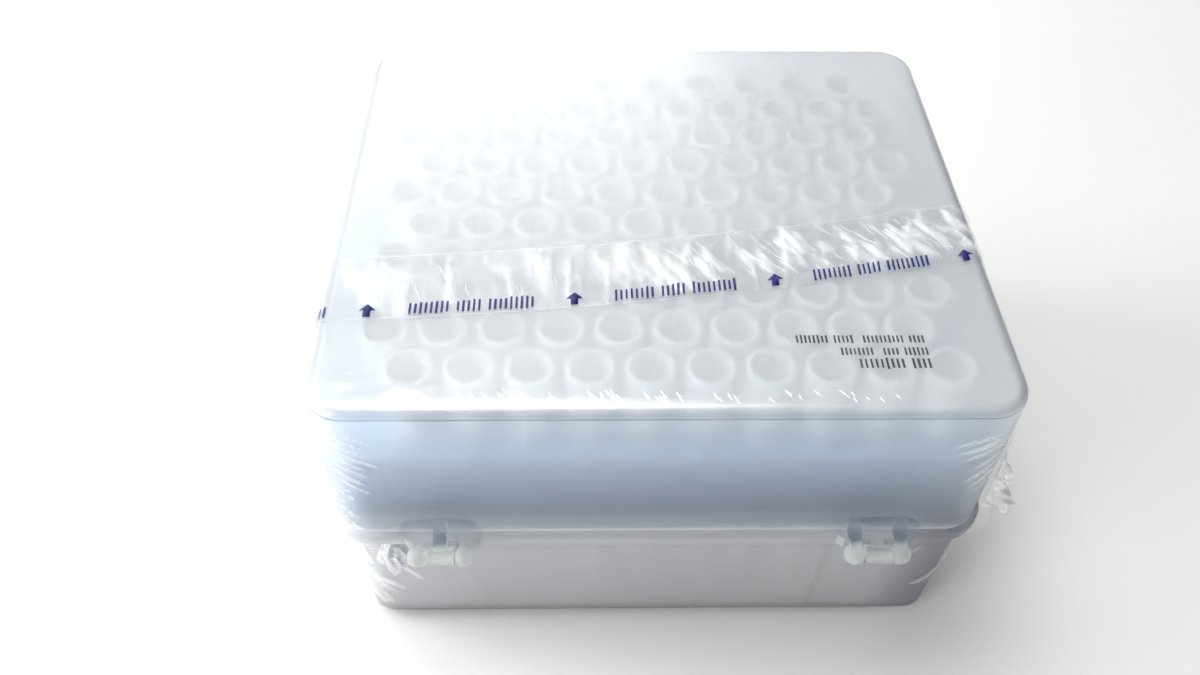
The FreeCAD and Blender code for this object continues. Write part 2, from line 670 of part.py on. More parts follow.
def add_ear(body):
    """The loose, doubled ear of film that stands off the box's side."""
    sketch = new_sketch(body, "ear_outline", "XZ_Plane", (HALF_WIDTH, SEAM, -size("ear_place")))
    root = -size("lid_wall")
    points = [
        (root, size("ear_top")),
        (size("film_gap"), size("ear_top")),
        (size("ear_reach"), size("ear_tip_height")),
        (size("ear_foot_reach"), size("ear_foot")),
        (root, size("ear_foot")),
    ]
    add_outline(sketch, points)
    add_pad(body, "ear", sketch, size("ear_thickness"), midplane=True)


def add_wad(body, offset):
    """The gathered film beside the hinge at -X."""
    wad = body.newObject("PartDesign::AdditiveEllipsoid", "wad")
    height = SEAM - size("wad_drop")
    wad.setExpression("Radius1", (size("wad_height") / 2).text)
    wad.setExpression("Radius2", (size("wad_width") / 2).text)
    wad.setExpression("Radius3", size("wad_bulge").text)
    wad.setExpression("Placement.Base.x", (-size("wad_place")).text)
    wad.setExpression("Placement.Base.y", (-(HALF_DEPTH - tray_inset(height) + offset)).text)
    wad.setExpression("Placement.Base.z", height.text)
    settled(wad)


def cut_out(label, base, tool):
    """A shell: base without what tool fills."""
    shell = DOC.addObject("Part::Cut", label)
    shell.Label = label
    shell.Base = base
    shell.Tool = tool
    return settled(shell)


def make_films():
    """The shrink film, parted along the ledge, with a hole round each hinge."""
    inner = size("film_gap")
    outer = inner + size("film_thickness")
    over_lid = make_lid_cover("lid_film_outside", outer)
    add_ear(over_lid)
    cut_windows(over_lid, "lid_windows", SEAM, SEAM + size("window_rise"))
    over_tray = make_tray_cover("base_film_outside", outer)
    add_wad(over_tray, outer)
    cut_windows(over_tray, "base_windows", SEAM - size("window_drop"), SEAM)
    return [
        cut_out("lid_film", over_lid, make_lid_cover("lid_film_inside", inner)),
        cut_out("base_film", over_tray, make_tray_cover("base_film_inside", inner)),
    ]


def make_band():
    """The pull tape's sweep across the box, as an upright prism taller than the box."""
    body = new_body("band")
    sketch = new_sketch(body, "band_plan", origin=(ZERO, ZERO, size("tape_foot_gap")))
    reach = HALF_WIDTH + size("corner_radius")
    start, end, width = size("tape_start"), size("tape_end"), size("tape_width")
    corners = [(-reach, start), (reach, end), (reach, end + width), (-reach, start + width)]
    near_left, near_right, far_right, far_left = (flat_point(corner) for corner in corners)
    near = sketch.addGeometry(bend(near_left, near_right))
    right = sketch.addGeometry(Part.LineSegment(near_right, far_right))
    far = sketch.addGeometry(bend(far_left, far_right))
    left = sketch.addGeometry(Part.LineSegment(far_left, near_left))
    joins = ((near, 2, right, 1), (right, 2, far, 2), (far, 1, left, 1), (left, 2, near, 1))
    for join in joins:
        sketch.addConstraint(Sketcher.Constraint("Coincident", *join))
    pins = ((near, 1), (near, 2), (far, 2), (far, 1))
    for (element, vertex), corner in zip(pins, corners):
        pin(sketch, element, vertex, *corner)
    for arc in (near, far):
        bind(sketch, ("Radius", arc), size("tape_bend_radius"))
    add_pad(body, "band_prism", sketch, LID_TOP + size("lid_edge_radius"))
    return body


def bend(start, end):
    """A shallow arc from start to end that sags towards -Y, with the radius of the tape's sweep."""
    radius = size("tape_bend_radius").value
    chord = end - start
    across = FreeCAD.Vector(-chord.y, chord.x, 0).normalize()
    centre = (start + end) / 2 + across * math.sqrt(radius**2 - (chord.Length / 2) ** 2)
    circle = Part.Circle(centre, FreeCAD.Vector(0, 0, 1), radius)
    angles = [math.atan2(point.y - centre.y, point.x - centre.x) for point in (start, end)]
    return Part.ArcOfCircle(circle, *angles)


def make_tapes():
    """The pull tape, which lies on the film and is parted with it at the ledge."""
    inner = size("film_gap") + size("film_thickness") + size("tape_gap")
    outer = inner + size("tape_thickness")
    band = make_band()
    tapes = []
    for label, make_cover in (("pull_tape_lid", make_lid_cover), ("pull_tape_base", make_tray_cover)):
        outside, inside = make_cover(f"{label}_outside", outer), make_cover(f"{label}_inside", inner)
        shell = cut_out(f"{label}_shell", outside, inside)
        tape = DOC.addObject("Part::Common", label)
        tape.Label = label
        tape.Base = shell
        tape.Tool = band
        tapes.append(settled(tape))
    return tapes


def check(pieces):
    """Stops before anything is written if an object failed or a piece has no sound solid."""
    for thing in DOC.Objects:
        if {"Invalid", "Error"} & set(thing.State):
            raise RuntimeError(f"{thing.Label} failed: {thing.State}")
    for piece in pieces:
        if piece.Shape.isNull() or not piece.Shape.isValid() or not piece.Shape.Solids:
            raise RuntimeError(f"{piece.Label} has no sound solid")


def main():
    pieces = [make_tray(), make_lid(), make_rack()]
    for row in range(int(size("row_count").value)):
        pieces.append(make_tip_row(row))
    pieces += make_films() + make_tapes()
    check(pieces)
    os.makedirs("parts", exist_ok=True)
    for piece in pieces:
        piece.Shape.exportStep(f"parts/{piece.Label}.step")
        print(piece.Label, len(piece.Shape.Solids), "solids", round(piece.Shape.Volume, 1), "mm3")


main()
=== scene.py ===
"""Looks for a hinged, frosted box of pipette tips in its shrink film.

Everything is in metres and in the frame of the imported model: +Z is up, the bench is z = 0, the hinges are
at -Y and the lid opens at +Y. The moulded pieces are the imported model's own. The film, the pull tape and the
print are built here, over the plain solids that stand for them.
"""

from __future__ import annotations

import logging
import math
from dataclasses import asdict, astuple, dataclass, field
from enum import Enum
from typing import Any, Callable, Sequence

import bpy
import numpy as np
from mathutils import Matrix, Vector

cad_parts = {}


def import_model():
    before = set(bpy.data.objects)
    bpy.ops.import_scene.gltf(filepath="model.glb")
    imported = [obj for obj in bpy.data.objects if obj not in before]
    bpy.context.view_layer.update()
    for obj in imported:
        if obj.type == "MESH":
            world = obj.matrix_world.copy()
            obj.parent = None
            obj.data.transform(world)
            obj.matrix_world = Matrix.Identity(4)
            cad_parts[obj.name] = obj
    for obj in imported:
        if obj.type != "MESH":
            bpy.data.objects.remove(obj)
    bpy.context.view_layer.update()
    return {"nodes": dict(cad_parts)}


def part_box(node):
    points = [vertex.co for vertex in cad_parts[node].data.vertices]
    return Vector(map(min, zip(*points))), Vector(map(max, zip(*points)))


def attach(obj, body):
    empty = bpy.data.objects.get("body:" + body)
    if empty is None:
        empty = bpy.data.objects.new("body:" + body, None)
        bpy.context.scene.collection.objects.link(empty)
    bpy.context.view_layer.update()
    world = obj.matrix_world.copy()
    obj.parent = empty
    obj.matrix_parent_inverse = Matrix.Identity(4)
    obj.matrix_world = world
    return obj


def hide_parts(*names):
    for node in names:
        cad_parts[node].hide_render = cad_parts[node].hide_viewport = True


LOG = logging.getLogger("tip_box")
MM = 0.001
CREASE = "crease"  # the attribute that says how sharply film is creased, with any painted highlight added; the film turns it white
STROKE_SIZE = "stroke_size"  # the attribute that gives a printed stroke's width and height
HINGE_TOP = 38.4 * MM  # where the hinges end and the wall above them begins
LEVEL_TURN = (0.3, 0.8)  # how level a face is where an upright face's finish ends and a flat one's begins
EDGE_STEPS = 5  # rings round a cover's edge
FINER_ENDS = 0.35  # how much closer a cover's cells lie at its ends
FINER_FRONT = 1.25  # how much closer they lie at the hinge side
PLEAT_SINK = 0.02 * MM  # how far a pleat's foot lies in the film
UPRIGHT = 0.99  # how far outwards a wall faces, at least

Array = np.ndarray
Colour = tuple[float, float, float]
Span = tuple[float, ...]
Form = tuple[np.ndarray, list[list[int]]]  # a closed form's vertices and faces


def mm(*values: float) -> Span:
    """Turns millimetres into metres."""
    return tuple(value * MM for value in values)


class Part(str, Enum):
    """The bodies that a piece can ride on."""

    BASE = "base"
    LID = "lid"


class Axis(str, Enum):
    """The axes that a zone can be bounded along."""

    X = "X"
    Y = "Y"


class Slot(str, Enum):
    """Names of material slots that the print passes along but does not use."""

    FILM = "film"
    TAPE = "tape"
    LID = "frosted_lid"


# Node trees


class Graph:
    """Adds nodes to one tree and links them."""

    def __init__(self, tree: bpy.types.NodeTree) -> None:
        """Empties a node tree and takes it over."""
        self.tree = tree
        tree.nodes.clear()

    def add(self, kind: str, inputs: dict[str | int, Any] | None = None, **settings: Any) -> bpy.types.Node:
        """Adds a node, sets its properties and feeds its inputs.

        Args:
            kind: The node's type name.
            inputs: Values or output sockets for the node's inputs, by name or index.
            settings: Properties of the node.

        Returns:
            The new node.
        """
        node = self.tree.nodes.new(kind)
        for name, value in settings.items():
            setattr(node, name, value)
        for key, value in (inputs or {}).items():
            if isinstance(value, bpy.types.NodeSocket):
                self.tree.links.new(value, node.inputs[key])
            else:
                node.inputs[key].default_value = value
        return node

    def maths(self, operation: str, *values: Any) -> bpy.types.NodeSocket:
        """Adds a maths node and returns its result."""
        return self.add("ShaderNodeMath", dict(enumerate(values)), operation=operation).outputs[0]

    def remap(self, value: Any, low: float, high: float, new_low: Any = 0.0, new_high: Any = 1.0) -> Any:
        """Maps a value from one range to another, clamped, and returns the result."""
        ends = {"Value": value, "From Min": low, "From Max": high, "To Min": new_low, "To Max": new_high}
        return self.add("ShaderNodeMapRange", ends).outputs[0]

    def blend(self, amount: Any, first: Any, second: Any) -> bpy.types.NodeSocket:
        """Blends two colours and returns the result."""
        return self.add("ShaderNodeMix", {0: amount, 6: first, 7: second}, data_type="RGBA").outputs[2]

    def noise(self, vector: Any, scale: Any, detail: float, roughness: float = 0.5) -> bpy.types.NodeSocket:
        """Adds a noise texture and returns its value."""
        inputs = {"Vector": vector, "Scale": scale, "Detail": detail, "Roughness": roughness}
        return self.add("ShaderNodeTexNoise", inputs).outputs[0]

    def place(self) -> bpy.types.NodeSocket:
        """Returns the object's own coordinates."""
        return self.add("ShaderNodeTexCoord").outputs["Object"]

    def axes(self, vector: bpy.types.NodeSocket) -> Any:
        """Returns a vector's X, Y and Z."""
        return self.add("ShaderNodeSeparateXYZ", {0: vector}).outputs

    def level(self) -> bpy.types.NodeSocket:
        """Returns how level the surface lies: 0 upright, 1 flat."""
        facing = self.add("ShaderNodeNewGeometry").outputs["True Normal"]
        return self.maths("ABSOLUTE", self.axes(facing)["Z"])

    def by_level(self, upright: float, flat: float) -> bpy.types.NodeSocket:
        """Returns a value that goes from the upright faces' to the flat ones'."""
        return self.remap(self.level(), *LEVEL_TURN, upright, flat)

    def end_material(self, inputs: dict[str, Any], light_passed: Any = None) -> None:
        """Ends a material with a Principled shader.

        Args:
            inputs: The shader's inputs.
            light_passed: The share of the lamps' light that goes straight through, if any does.
        """
        shader = self.add("ShaderNodeBsdfPrincipled", inputs).outputs[0]
        if light_passed is not None:
            lamp = self.add("ShaderNodeLightPath").outputs["Is Shadow Ray"]
            tint = self.add("ShaderNodeCombineColor", dict.fromkeys(range(3), light_passed)).outputs[0]
            clear = self.add("ShaderNodeBsdfTransparent", {0: tint}).outputs[0]
            shader = self.add("ShaderNodeMixShader", {0: lamp, 1: shader, 2: clear}).outputs[0]
        self.add("ShaderNodeOutputMaterial", {"Surface": shader})


def rgba(colour: Colour) -> tuple[float, float, float, float]:
    """Adds a full alpha to a colour."""
    return (*colour, 1.0)


def new_group(name: str, kind: str, inputs: dict[str, tuple[str, Any]],
              outputs: dict[str, str]) -> tuple[Graph, Any]:
    """Starts a node group.

    Args:
        name: The group's name.
        kind: Its tree's type name.
        inputs: Each input's kind of value and default, by name.
        outputs: Each output's kind of value, by name.

    Returns:
        The graph, and its inputs by name.
    """
    tree = bpy.data.node_groups.new(name, kind)
    for key, (value, default) in inputs.items():
        socket = tree.interface.new_socket(key, in_out="INPUT", socket_type=f"NodeSocket{value}")
        if default is not None:
            socket.default_value = default
    for key, value in outputs.items():
        tree.interface.new_socket(key, in_out="OUTPUT", socket_type=f"NodeSocket{value}")
    graph = Graph(tree)
    return graph, graph.add("NodeGroupInput").outputs


def moulded_surface_group() -> bpy.types.NodeTree:
    """Builds the fine texture of moulded plastic: spark grain, cloudy flow marks and light rubbing.

    Returns:
        The group, with Colour, Roughness and Normal outputs.
    """
    cloud_edges, grain_relief = (0.35, 0.7), 0.05 * MM
    inputs = {
        "Colour": ("Color", (0.8, 0.8, 0.8, 1.0)),
        "Cloud Colour": ("Color", (0.7, 0.7, 0.7, 1.0)),
        "Cloud Scale": ("Float", 40.0),
        "Grain Scale": ("Float", 2500.0),
        "Grain Depth": ("Float", 0.1),
        "Roughness": ("Float", 0.4),
        "Roughness Spread": ("Float", 0.1),
    }
    outputs = {"Colour": "Color", "Roughness": "Float", "Normal": "Vector"}
    graph, given = new_group("moulded_surface", "ShaderNodeTree", inputs, outputs)
    place = graph.place()
    cloud = graph.noise(place, given["Cloud Scale"], detail=2.0, roughness=0.6)
    grain = graph.noise(place, given["Grain Scale"], detail=0.0)
    spread = graph.maths("MULTIPLY", graph.maths("SUBTRACT", cloud, 0.5), given["Roughness Spread"])
    relief = {"Height": grain, "Distance": grain_relief, "Strength": given["Grain Depth"]}
    bump = graph.add("ShaderNodeBump", relief)
    graph.add("NodeGroupOutput", {
        "Colour": graph.blend(graph.remap(cloud, *cloud_edges), given["Colour"], given["Cloud Colour"]),
        "Roughness": graph.maths("ADD", given["Roughness"], spread),
        "Normal": bump.outputs["Normal"],
    })
    return graph.tree


def film_crinkle_group() -> bpy.types.NodeTree:
    """Builds the fine lines of stretched clear film.

    Returns:
        The group, with Haze and Normal outputs.
    """
    warp_scale, line_width, line_relief = 60.0, 0.06, 0.6 * MM
    inputs = {
        "Line Scale": ("Float", 300.0),
        "Line Depth": ("Float", 0.3),
        "Stretch": ("Vector", (1.0, 1.0, 1.0)),
    }
    outputs = {"Haze": "Float", "Normal": "Vector"}
    graph, given = new_group("film_crinkle", "ShaderNodeTree", inputs, outputs)
    place = graph.place()
    warp = graph.noise(place, warp_scale, detail=0.0)
    moved = graph.add("ShaderNodeVectorMath", {0: place, 1: warp}, operation="ADD").outputs[0]
    drawn_out = {0: moved, 1: given["Stretch"]}
    scaled = graph.add("ShaderNodeVectorMath", drawn_out, operation="MULTIPLY").outputs[0]
    lines = graph.noise(scaled, given["Line Scale"], detail=1.0, roughness=0.65)
    ridge = graph.maths("ABSOLUTE", graph.maths("SUBTRACT", lines, 0.5))
    relief = {"Height": ridge, "Distance": line_relief, "Strength": given["Line Depth"]}
    bump = graph.add("ShaderNodeBump", relief)
    whitening_and_highlight = graph.remap(ridge, 0.0, line_width, 1.0, 0.0)
    graph.add("NodeGroupOutput", {"Haze": whitening_and_highlight, "Normal": bump.outputs["Normal"]})
    return graph.tree


class Groups:
    """The shader node groups that several materials share, each built once."""

    def __init__(self) -> None:
        """Builds the groups."""
        self.moulded = moulded_surface_group()
        self.crinkle = film_crinkle_group()


def new_material(name: str) -> tuple[bpy.types.Material, Graph]:
    """Starts a node material.

    Args:
        name: The material's name.

    Returns:
        The material and its empty graph.
    """
    material = bpy.data.materials.new(name)
    material.use_nodes = True
    return material, Graph(material.node_tree)


# Finishes


@dataclass(frozen=True)
class Zone:
    """A stretch of a moulded piece with its own colour and clearness: a solid part that looks paler and less
    clear, such as a hinge knuckle, or painted shade or a painted highlight.
    """

    colour: Colour
    clearness: float
    front: float = -1.0
    back: float = 1.0
    low: float = -1.0
    high: float = 1.0
    blur: float = 0.3 * MM
    axis: Axis = Axis.Y

    def mask(self, graph: Graph) -> bpy.types.NodeSocket:
        """Works out which points lie in the zone.

        Args:
            graph: The material's graph.

        Returns:
            1 inside, 0 outside, with a soft edge.
        """
        place = graph.axes(graph.place())
        across = place[self.axis.value]
        inside = graph.remap(across, self.front - self.blur, self.front)
        for value, end in ((across, self.back), (place["Z"], self.high)):
            inside = graph.maths("MULTIPLY", inside, graph.remap(value, end, end + self.blur, 1.0, 0.0))
        return graph.maths("MULTIPLY", inside, graph.remap(place["Z"], self.low - self.blur, self.low))


@dataclass(frozen=True)
class MouldedPlastic:
    """A moulded plastic, clear to solid, with grain and cloudy flow marks, and, where given, painted shade on
    its flat faces, round its edges and towards its foot, and zones that can hold painted shade and painted
    highlight.
    """

    name: str
    colour: Colour
    cloud_colour: Colour
    clearness: float = 0.0
    upright_clearness: float | None = None
    # painted shade: a darker colour on the flat faces, such as the lid's roof and the tips' rims
    level_colour: Colour | None = None
    # painted shade: a darker colour towards the foot, fading out between the two heights below
    foot_colour: Colour | None = None
    foot_heights: Span = (0.0, 1.0)
    # painted shade: a dark line round rounded edges, on the faces about as level as edge_level
    edge_colour: Colour | None = None
    edge_level: float = 0.2
    edge_spread: float = 0.14
    zones: tuple[Zone, ...] = ()
    roughness: float = 0.4
    upright_blur: float = 0.0
    roughness_spread: float = 0.1
    grain_depth: float = 0.1
    grain_scale: float = 2500.0
    cloud_scale: float = 40.0
    light_passed: float = 0.0
    upright_share: float = 1.0
    refraction: float = 1.49

    def build(self, groups: Groups) -> bpy.types.Material:
        """Builds the material.

        Args:
            groups: The shared shader groups.

        Returns:
            The material.
        """
        material, graph = new_material(self.name)
        values = {
            "Colour": rgba(self.colour),
            "Cloud Colour": rgba(self.cloud_colour),
            "Cloud Scale": self.cloud_scale,
            "Grain Scale": self.grain_scale,
            "Grain Depth": self.grain_depth,
            "Roughness": self.roughness,
            "Roughness Spread": self.roughness_spread,
        }
        surface = graph.add("ShaderNodeGroup", values, node_tree=groups.moulded).outputs
        colour, roughness, clearness = surface["Colour"], surface["Roughness"], self.clearness
        if self.upright_blur:
            roughness = graph.maths("ADD", roughness, graph.by_level(self.upright_blur, 0.0))
        if self.upright_clearness is not None:
            clearness = graph.by_level(self.upright_clearness, self.clearness)
        # painted shade: the flat faces take a darker colour than the upright ones
        if self.level_colour is not None:
            colour = graph.blend(graph.by_level(0.0, 1.0), colour, rgba(self.level_colour))
        # painted shade: darkens the rounded edges into a thin dark line
        if self.edge_colour is not None:
            off = graph.maths("ABSOLUTE", graph.maths("SUBTRACT", graph.level(), self.edge_level))
            near = graph.remap(off, 0.0, self.edge_spread, 1.0, 0.0)
            colour = graph.blend(near, colour, rgba(self.edge_colour))
        # painted shade: from the foot's dark colour at the lower height to the plastic's own colour at the
        # upper
        if self.foot_colour is not None:
            rise = graph.remap(graph.axes(graph.place())["Z"], *self.foot_heights)
            colour = graph.blend(rise, rgba(self.foot_colour), surface["Colour"])
        # zones: the knuckles' own paler tone, and painted shade and painted highlight elsewhere
        for zone in self.zones:
            inside = zone.mask(graph)
            colour = graph.blend(inside, colour, rgba(zone.colour))
            rest = graph.maths("MULTIPLY", graph.maths("SUBTRACT", 1.0, inside), clearness)
            clearness = graph.maths("ADD", graph.maths("MULTIPLY", inside, zone.clearness), rest)
        inputs = {"Base Color": colour, "Roughness": roughness, "Normal": surface["Normal"],
                  "IOR": self.refraction, "Transmission Weight": clearness}
        passed = self.light_passed
        graph.end_material(inputs, graph.by_level(passed * self.upright_share, passed) if passed else None)
        return material


@dataclass(frozen=True)
class ClearFilm:
    """A thin clear film: it lets nearly all light through, and mirrors the rest like polished foil. Where
    creased it turns white: partly the film's own whitening, partly painted highlight.
    """

    name: str
    least_mirror: float
    most_mirror: float
    line_haze: float
    # how white the creases turn: partly the film's own whitening, partly painted highlight
    crease_haze: float
    roughness: float
    line_scale: float
    line_depth: float
    colour: Colour = (0.97, 0.98, 1.0)
    stretch: tuple[float, float, float] = (1.0, 1.0, 1.0)
    level_gain: float = 1.0
    level_haze: float = 0.25
    facing_blend: float = 0.35
    facing_power: float = 2.0
    mirror_turn: Span = (0.4, 0.9)
    haze_turn: Span = (0.6, 0.95)
    crease_white: Span = (0.15, 0.9)
    crease_dull: Span = (0.15, 0.6)
    crease_rough: Span = (0.1, 0.8)
    crease_metal: float = 0.1
    crease_roughness: float = 0.25
    light_passed: float = 0.94

    def build(self, groups: Groups) -> bpy.types.Material:
        """Builds the material.

        Args:
            groups: The shared shader groups.

        Returns:
            The material.
        """
        material, graph = new_material(self.name)
        values = {"Line Scale": self.line_scale, "Line Depth": self.line_depth, "Stretch": self.stretch}
        crinkle = graph.add("ShaderNodeGroup", values, node_tree=groups.crinkle).outputs
        facing = graph.add("ShaderNodeLayerWeight", {"Blend": self.facing_blend, "Normal": crinkle["Normal"]})
        edge = graph.maths("POWER", facing.outputs["Facing"], self.facing_power)
        mirror = graph.remap(edge, 0.0, 1.0, self.least_mirror, self.most_mirror)
        gain = graph.remap(graph.level(), *self.mirror_turn, 1.0, self.level_gain)
        mirror = graph.maths("MULTIPLY", mirror, gain)
        calm = graph.remap(graph.level(), *self.haze_turn, self.line_haze, self.line_haze * self.level_haze)
        whitening_and_highlight = graph.maths("MULTIPLY", crinkle["Haze"], calm)
        crease = graph.add("ShaderNodeAttribute", attribute_name=CREASE).outputs["Fac"]
        # creases turn white: partly the film's own whitening, partly painted highlight for the glints on the
        # folds
        white = graph.maths("MULTIPLY", graph.remap(crease, *self.crease_white), self.crease_haze)
        dullest = self.roughness + self.crease_roughness
        inputs = {
            "Base Color": rgba(self.colour),
            "Metallic": graph.remap(crease, *self.crease_dull, 1.0, self.crease_metal),
            "Roughness": graph.remap(crease, *self.crease_rough, self.roughness, dullest),
            "Alpha": graph.maths("ADD", graph.maths("ADD", mirror, whitening_and_highlight), white),
            "Normal": crinkle["Normal"],
        }
        graph.end_material(inputs, self.light_passed)
        return material


@dataclass(frozen=True)
class Ink:
    """Printed ink with a slightly broken cover."""

    name: str
    colour: Colour
    worn_colour: Colour
    speck_scale: float = 1800.0
    worn: Span = (0.55, 0.72)
    dull: Span = (0.3, 0.7)
    roughness: float = 0.45
    roughness_spread: float = 0.15
    relief: float = 0.02 * MM
    relief_strength: float = 0.2

    def build(self) -> bpy.types.Material:
        """Builds the material.

        Returns:
            The material.
        """
        material, graph = new_material(self.name)
        speck = graph.noise(graph.place(), self.speck_scale, detail=2.0)
        height = {"Height": speck, "Distance": self.relief, "Strength": self.relief_strength}
        bump = graph.add("ShaderNodeBump", height)
        worn, dullest = graph.remap(speck, *self.worn), self.roughness + self.roughness_spread
        inputs = {
            "Base Color": graph.blend(worn, rgba(self.colour), rgba(self.worn_colour)),
            "Roughness": graph.remap(speck, *self.dull, self.roughness, dullest),
            "Normal": bump.outputs["Normal"],
        }
        graph.end_material(inputs)
        return material


# Shapes


def new_piece(name: str, points: Array, faces: Sequence[Sequence[int]], material: bpy.types.Material) -> Any:
    """Makes a smooth-shaded mesh object at the origin.

    Args:
        name: The piece's name.
        points: Its vertices.
        faces: Its faces, as lists of vertex numbers.
        material: Its material.

    Returns:
        The object.
    """
    mesh = bpy.data.meshes.new(name)
    mesh.from_pydata(points.tolist(), [], faces)
    mesh.polygons.foreach_set("use_smooth", [True] * len(mesh.polygons))
    mesh.materials.append(material)
    mesh.update()
    piece = bpy.data.objects.new(name, mesh)
    bpy.context.scene.collection.objects.link(piece)
    return piece


def mark_creases(piece: Any, amount: Array) -> None:
    """Writes how sharply each vertex of a piece is creased, with any painted highlight added, from 0 to 1, for
    its material to read and turn white.
    """
    layer = piece.data.attributes.new(CREASE, "FLOAT", "POINT")
    layer.data.foreach_set("value", np.clip(amount, 0.0, 1.0))


def report(piece: Any) -> None:
    """Says in the log that a piece is built."""
    LOG.info("built %s with %d faces", piece.name, len(piece.data.polygons))


def places_of(piece: Any) -> Array:
    """Reads where a piece's vertices are.

    Args:
        piece: The object.

    Returns:
        A row for each vertex.
    """
    flat = np.empty(len(piece.data.vertices) * 3)
    piece.data.vertices.foreach_get("co", flat)
    return flat.reshape(-1, 3)


def plain_mesh(piece: Any) -> None:
    """Turns a piece's modifiers into plain mesh and takes them off.

    Args:
        piece: The object.
    """
    bpy.context.view_layer.update()
    evaluated = piece.evaluated_get(bpy.context.evaluated_depsgraph_get())
    mesh = bpy.data.meshes.new_from_object(evaluated)
    piece.modifiers.clear()
    piece.data = mesh
    mesh.name = piece.name


def thicken(piece: Any, thickness: float, offset: float = 0.0) -> None:
    """Gives a sheet a wall of real thickness, closed along its rim.

    Args:
        piece: The sheet.
        thickness: Its wall.
        offset: Where the sheet lies in the wall: 1 at the outside, -1 at the inside.
    """
    solidify = piece.modifiers.new("wall", "SOLIDIFY")
    solidify.thickness = thickness
    solidify.offset = offset
    solidify.use_rim = True
    plain_mesh(piece)


@dataclass(frozen=True)
class Plan:
    """The box seen from above: a rectangle with round corners."""

    half_x: float
    half_y: float
    radius: float

    def split(self, u: Array, v: Array, inset: float) -> tuple[Array, Array]:
        """Splits places on the plan into two steps: along its straight sides, and out into its round corners.

        Args:
            u: Across the square -1..1 by -1..1 that is laid over the plan.
            v: Along the square.
            inset: How far the plan is moved in.

        Returns:
            The first and the second step, each as x and y.
        """
        half, radius = np.array([[self.half_x], [self.half_y]]) - inset, self.radius - inset
        place = np.stack([u, v]) * half
        core = np.clip(place, radius - half, half - radius)
        rest = place - core
        return core, rest * np.sqrt(1 - rest[::-1] ** 2 / (2 * radius**2))

    def place(self, u: Array, v: Array, inset: float) -> Array:
        """Maps the square -1..1 by -1..1 onto the plan, and returns x and y."""
        return sum(self.split(u, v, inset))

    def outward(self, u: Array, v: Array) -> Array:
        """The plan's outward direction at points on the square's rim, as x and y."""
        way = self.split(u, v, 0.0)[1]
        return way / np.hypot(*way)


@dataclass(frozen=True)
class Ring:
    """One level of a cover's profile, with the direction in which the cover faces there."""

    inset: float
    height: float
    out: float
    up: float


def arc_rings(inset: float, height: float, radius: float, rise: float) -> list[Ring]:
    """The rings round an edge, from the flat to the upright wall.

    Args:
        inset: The wall's inset.
        height: The flat's height.
        radius: The edge's radius.
        rise: 1 for an edge at the top, -1 for one at the foot.

    Returns:
        The rings.
    """
    rings = []
    for step in range(EDGE_STEPS + 1):
        turn = math.pi / 2 * step / EDGE_STEPS
        out, up = math.sin(turn), math.cos(turn)
        rings.append(Ring(inset + radius * (1 - out), height - rise * radius * (1 - up), out, rise * up))
    return rings


def wall_rings(levels: Sequence[tuple[float, float]], spacing: float) -> list[Ring]:
    """The rings down a wall with straight stretches between its levels, without the first level.

    Args:
        levels: Inset and height of each level.
        spacing: The greatest distance between rings.

    Returns:
        The rings.
    """
    rings = []
    for (inset, height), (next_inset, next_height) in zip(levels, levels[1:]):
        fall, run = abs(next_height - height), abs(next_inset - inset)
        length = math.hypot(fall, run)
        steps = max(1, math.ceil(length / spacing))
        side = 1.0 if (next_inset - inset) * (next_height - height) >= 0 else -1.0
        for step in range(1, steps + 1):
            part = step / steps
            ring_inset = inset + (next_inset - inset) * part
            ring_height = height + (next_height - height) * part
            rings.append(Ring(ring_inset, ring_height, fall / length, side * run / length))
    return rings


@dataclass(frozen=True)
class Ridge:
    """A single fold in the film, straight and tapered, on a flat chart of the surface."""

    u: float
    v: float
    turn: float
    length: float
    width: float
    height: float


def ridges_of(spreads: Sequence[Spread | Fan]) -> list[Ridge]:
    """All the ridges of several spreads."""
    return [ridge for spread in spreads for ridge in spread.ridges()]


def raised(u: Array, v: Array, ridges: Sequence[Ridge]) -> Array:
    """How far a set of ridges lifts the film.

    Args:
        u: Chart coordinate.
        v: Chart coordinate.
        ridges: The ridges.

    Returns:
        The lift at each point.
    """
    lift = np.zeros_like(u)
    for ridge in ridges:
        near = np.hypot(u - ridge.u, v - ridge.v) < ridge.length / 2 + 3 * ridge.width
        du, dv = u[near] - ridge.u, v[near] - ridge.v
        along = du * math.cos(ridge.turn) + dv * math.sin(ridge.turn)
        across = dv * math.cos(ridge.turn) - du * math.sin(ridge.turn)
        taper = np.clip(1 - (2 * along / ridge.length) ** 2, 0, None)
        lift[near] += ridge.height * taper * np.exp(-((across / ridge.width) ** 2))
    return lift


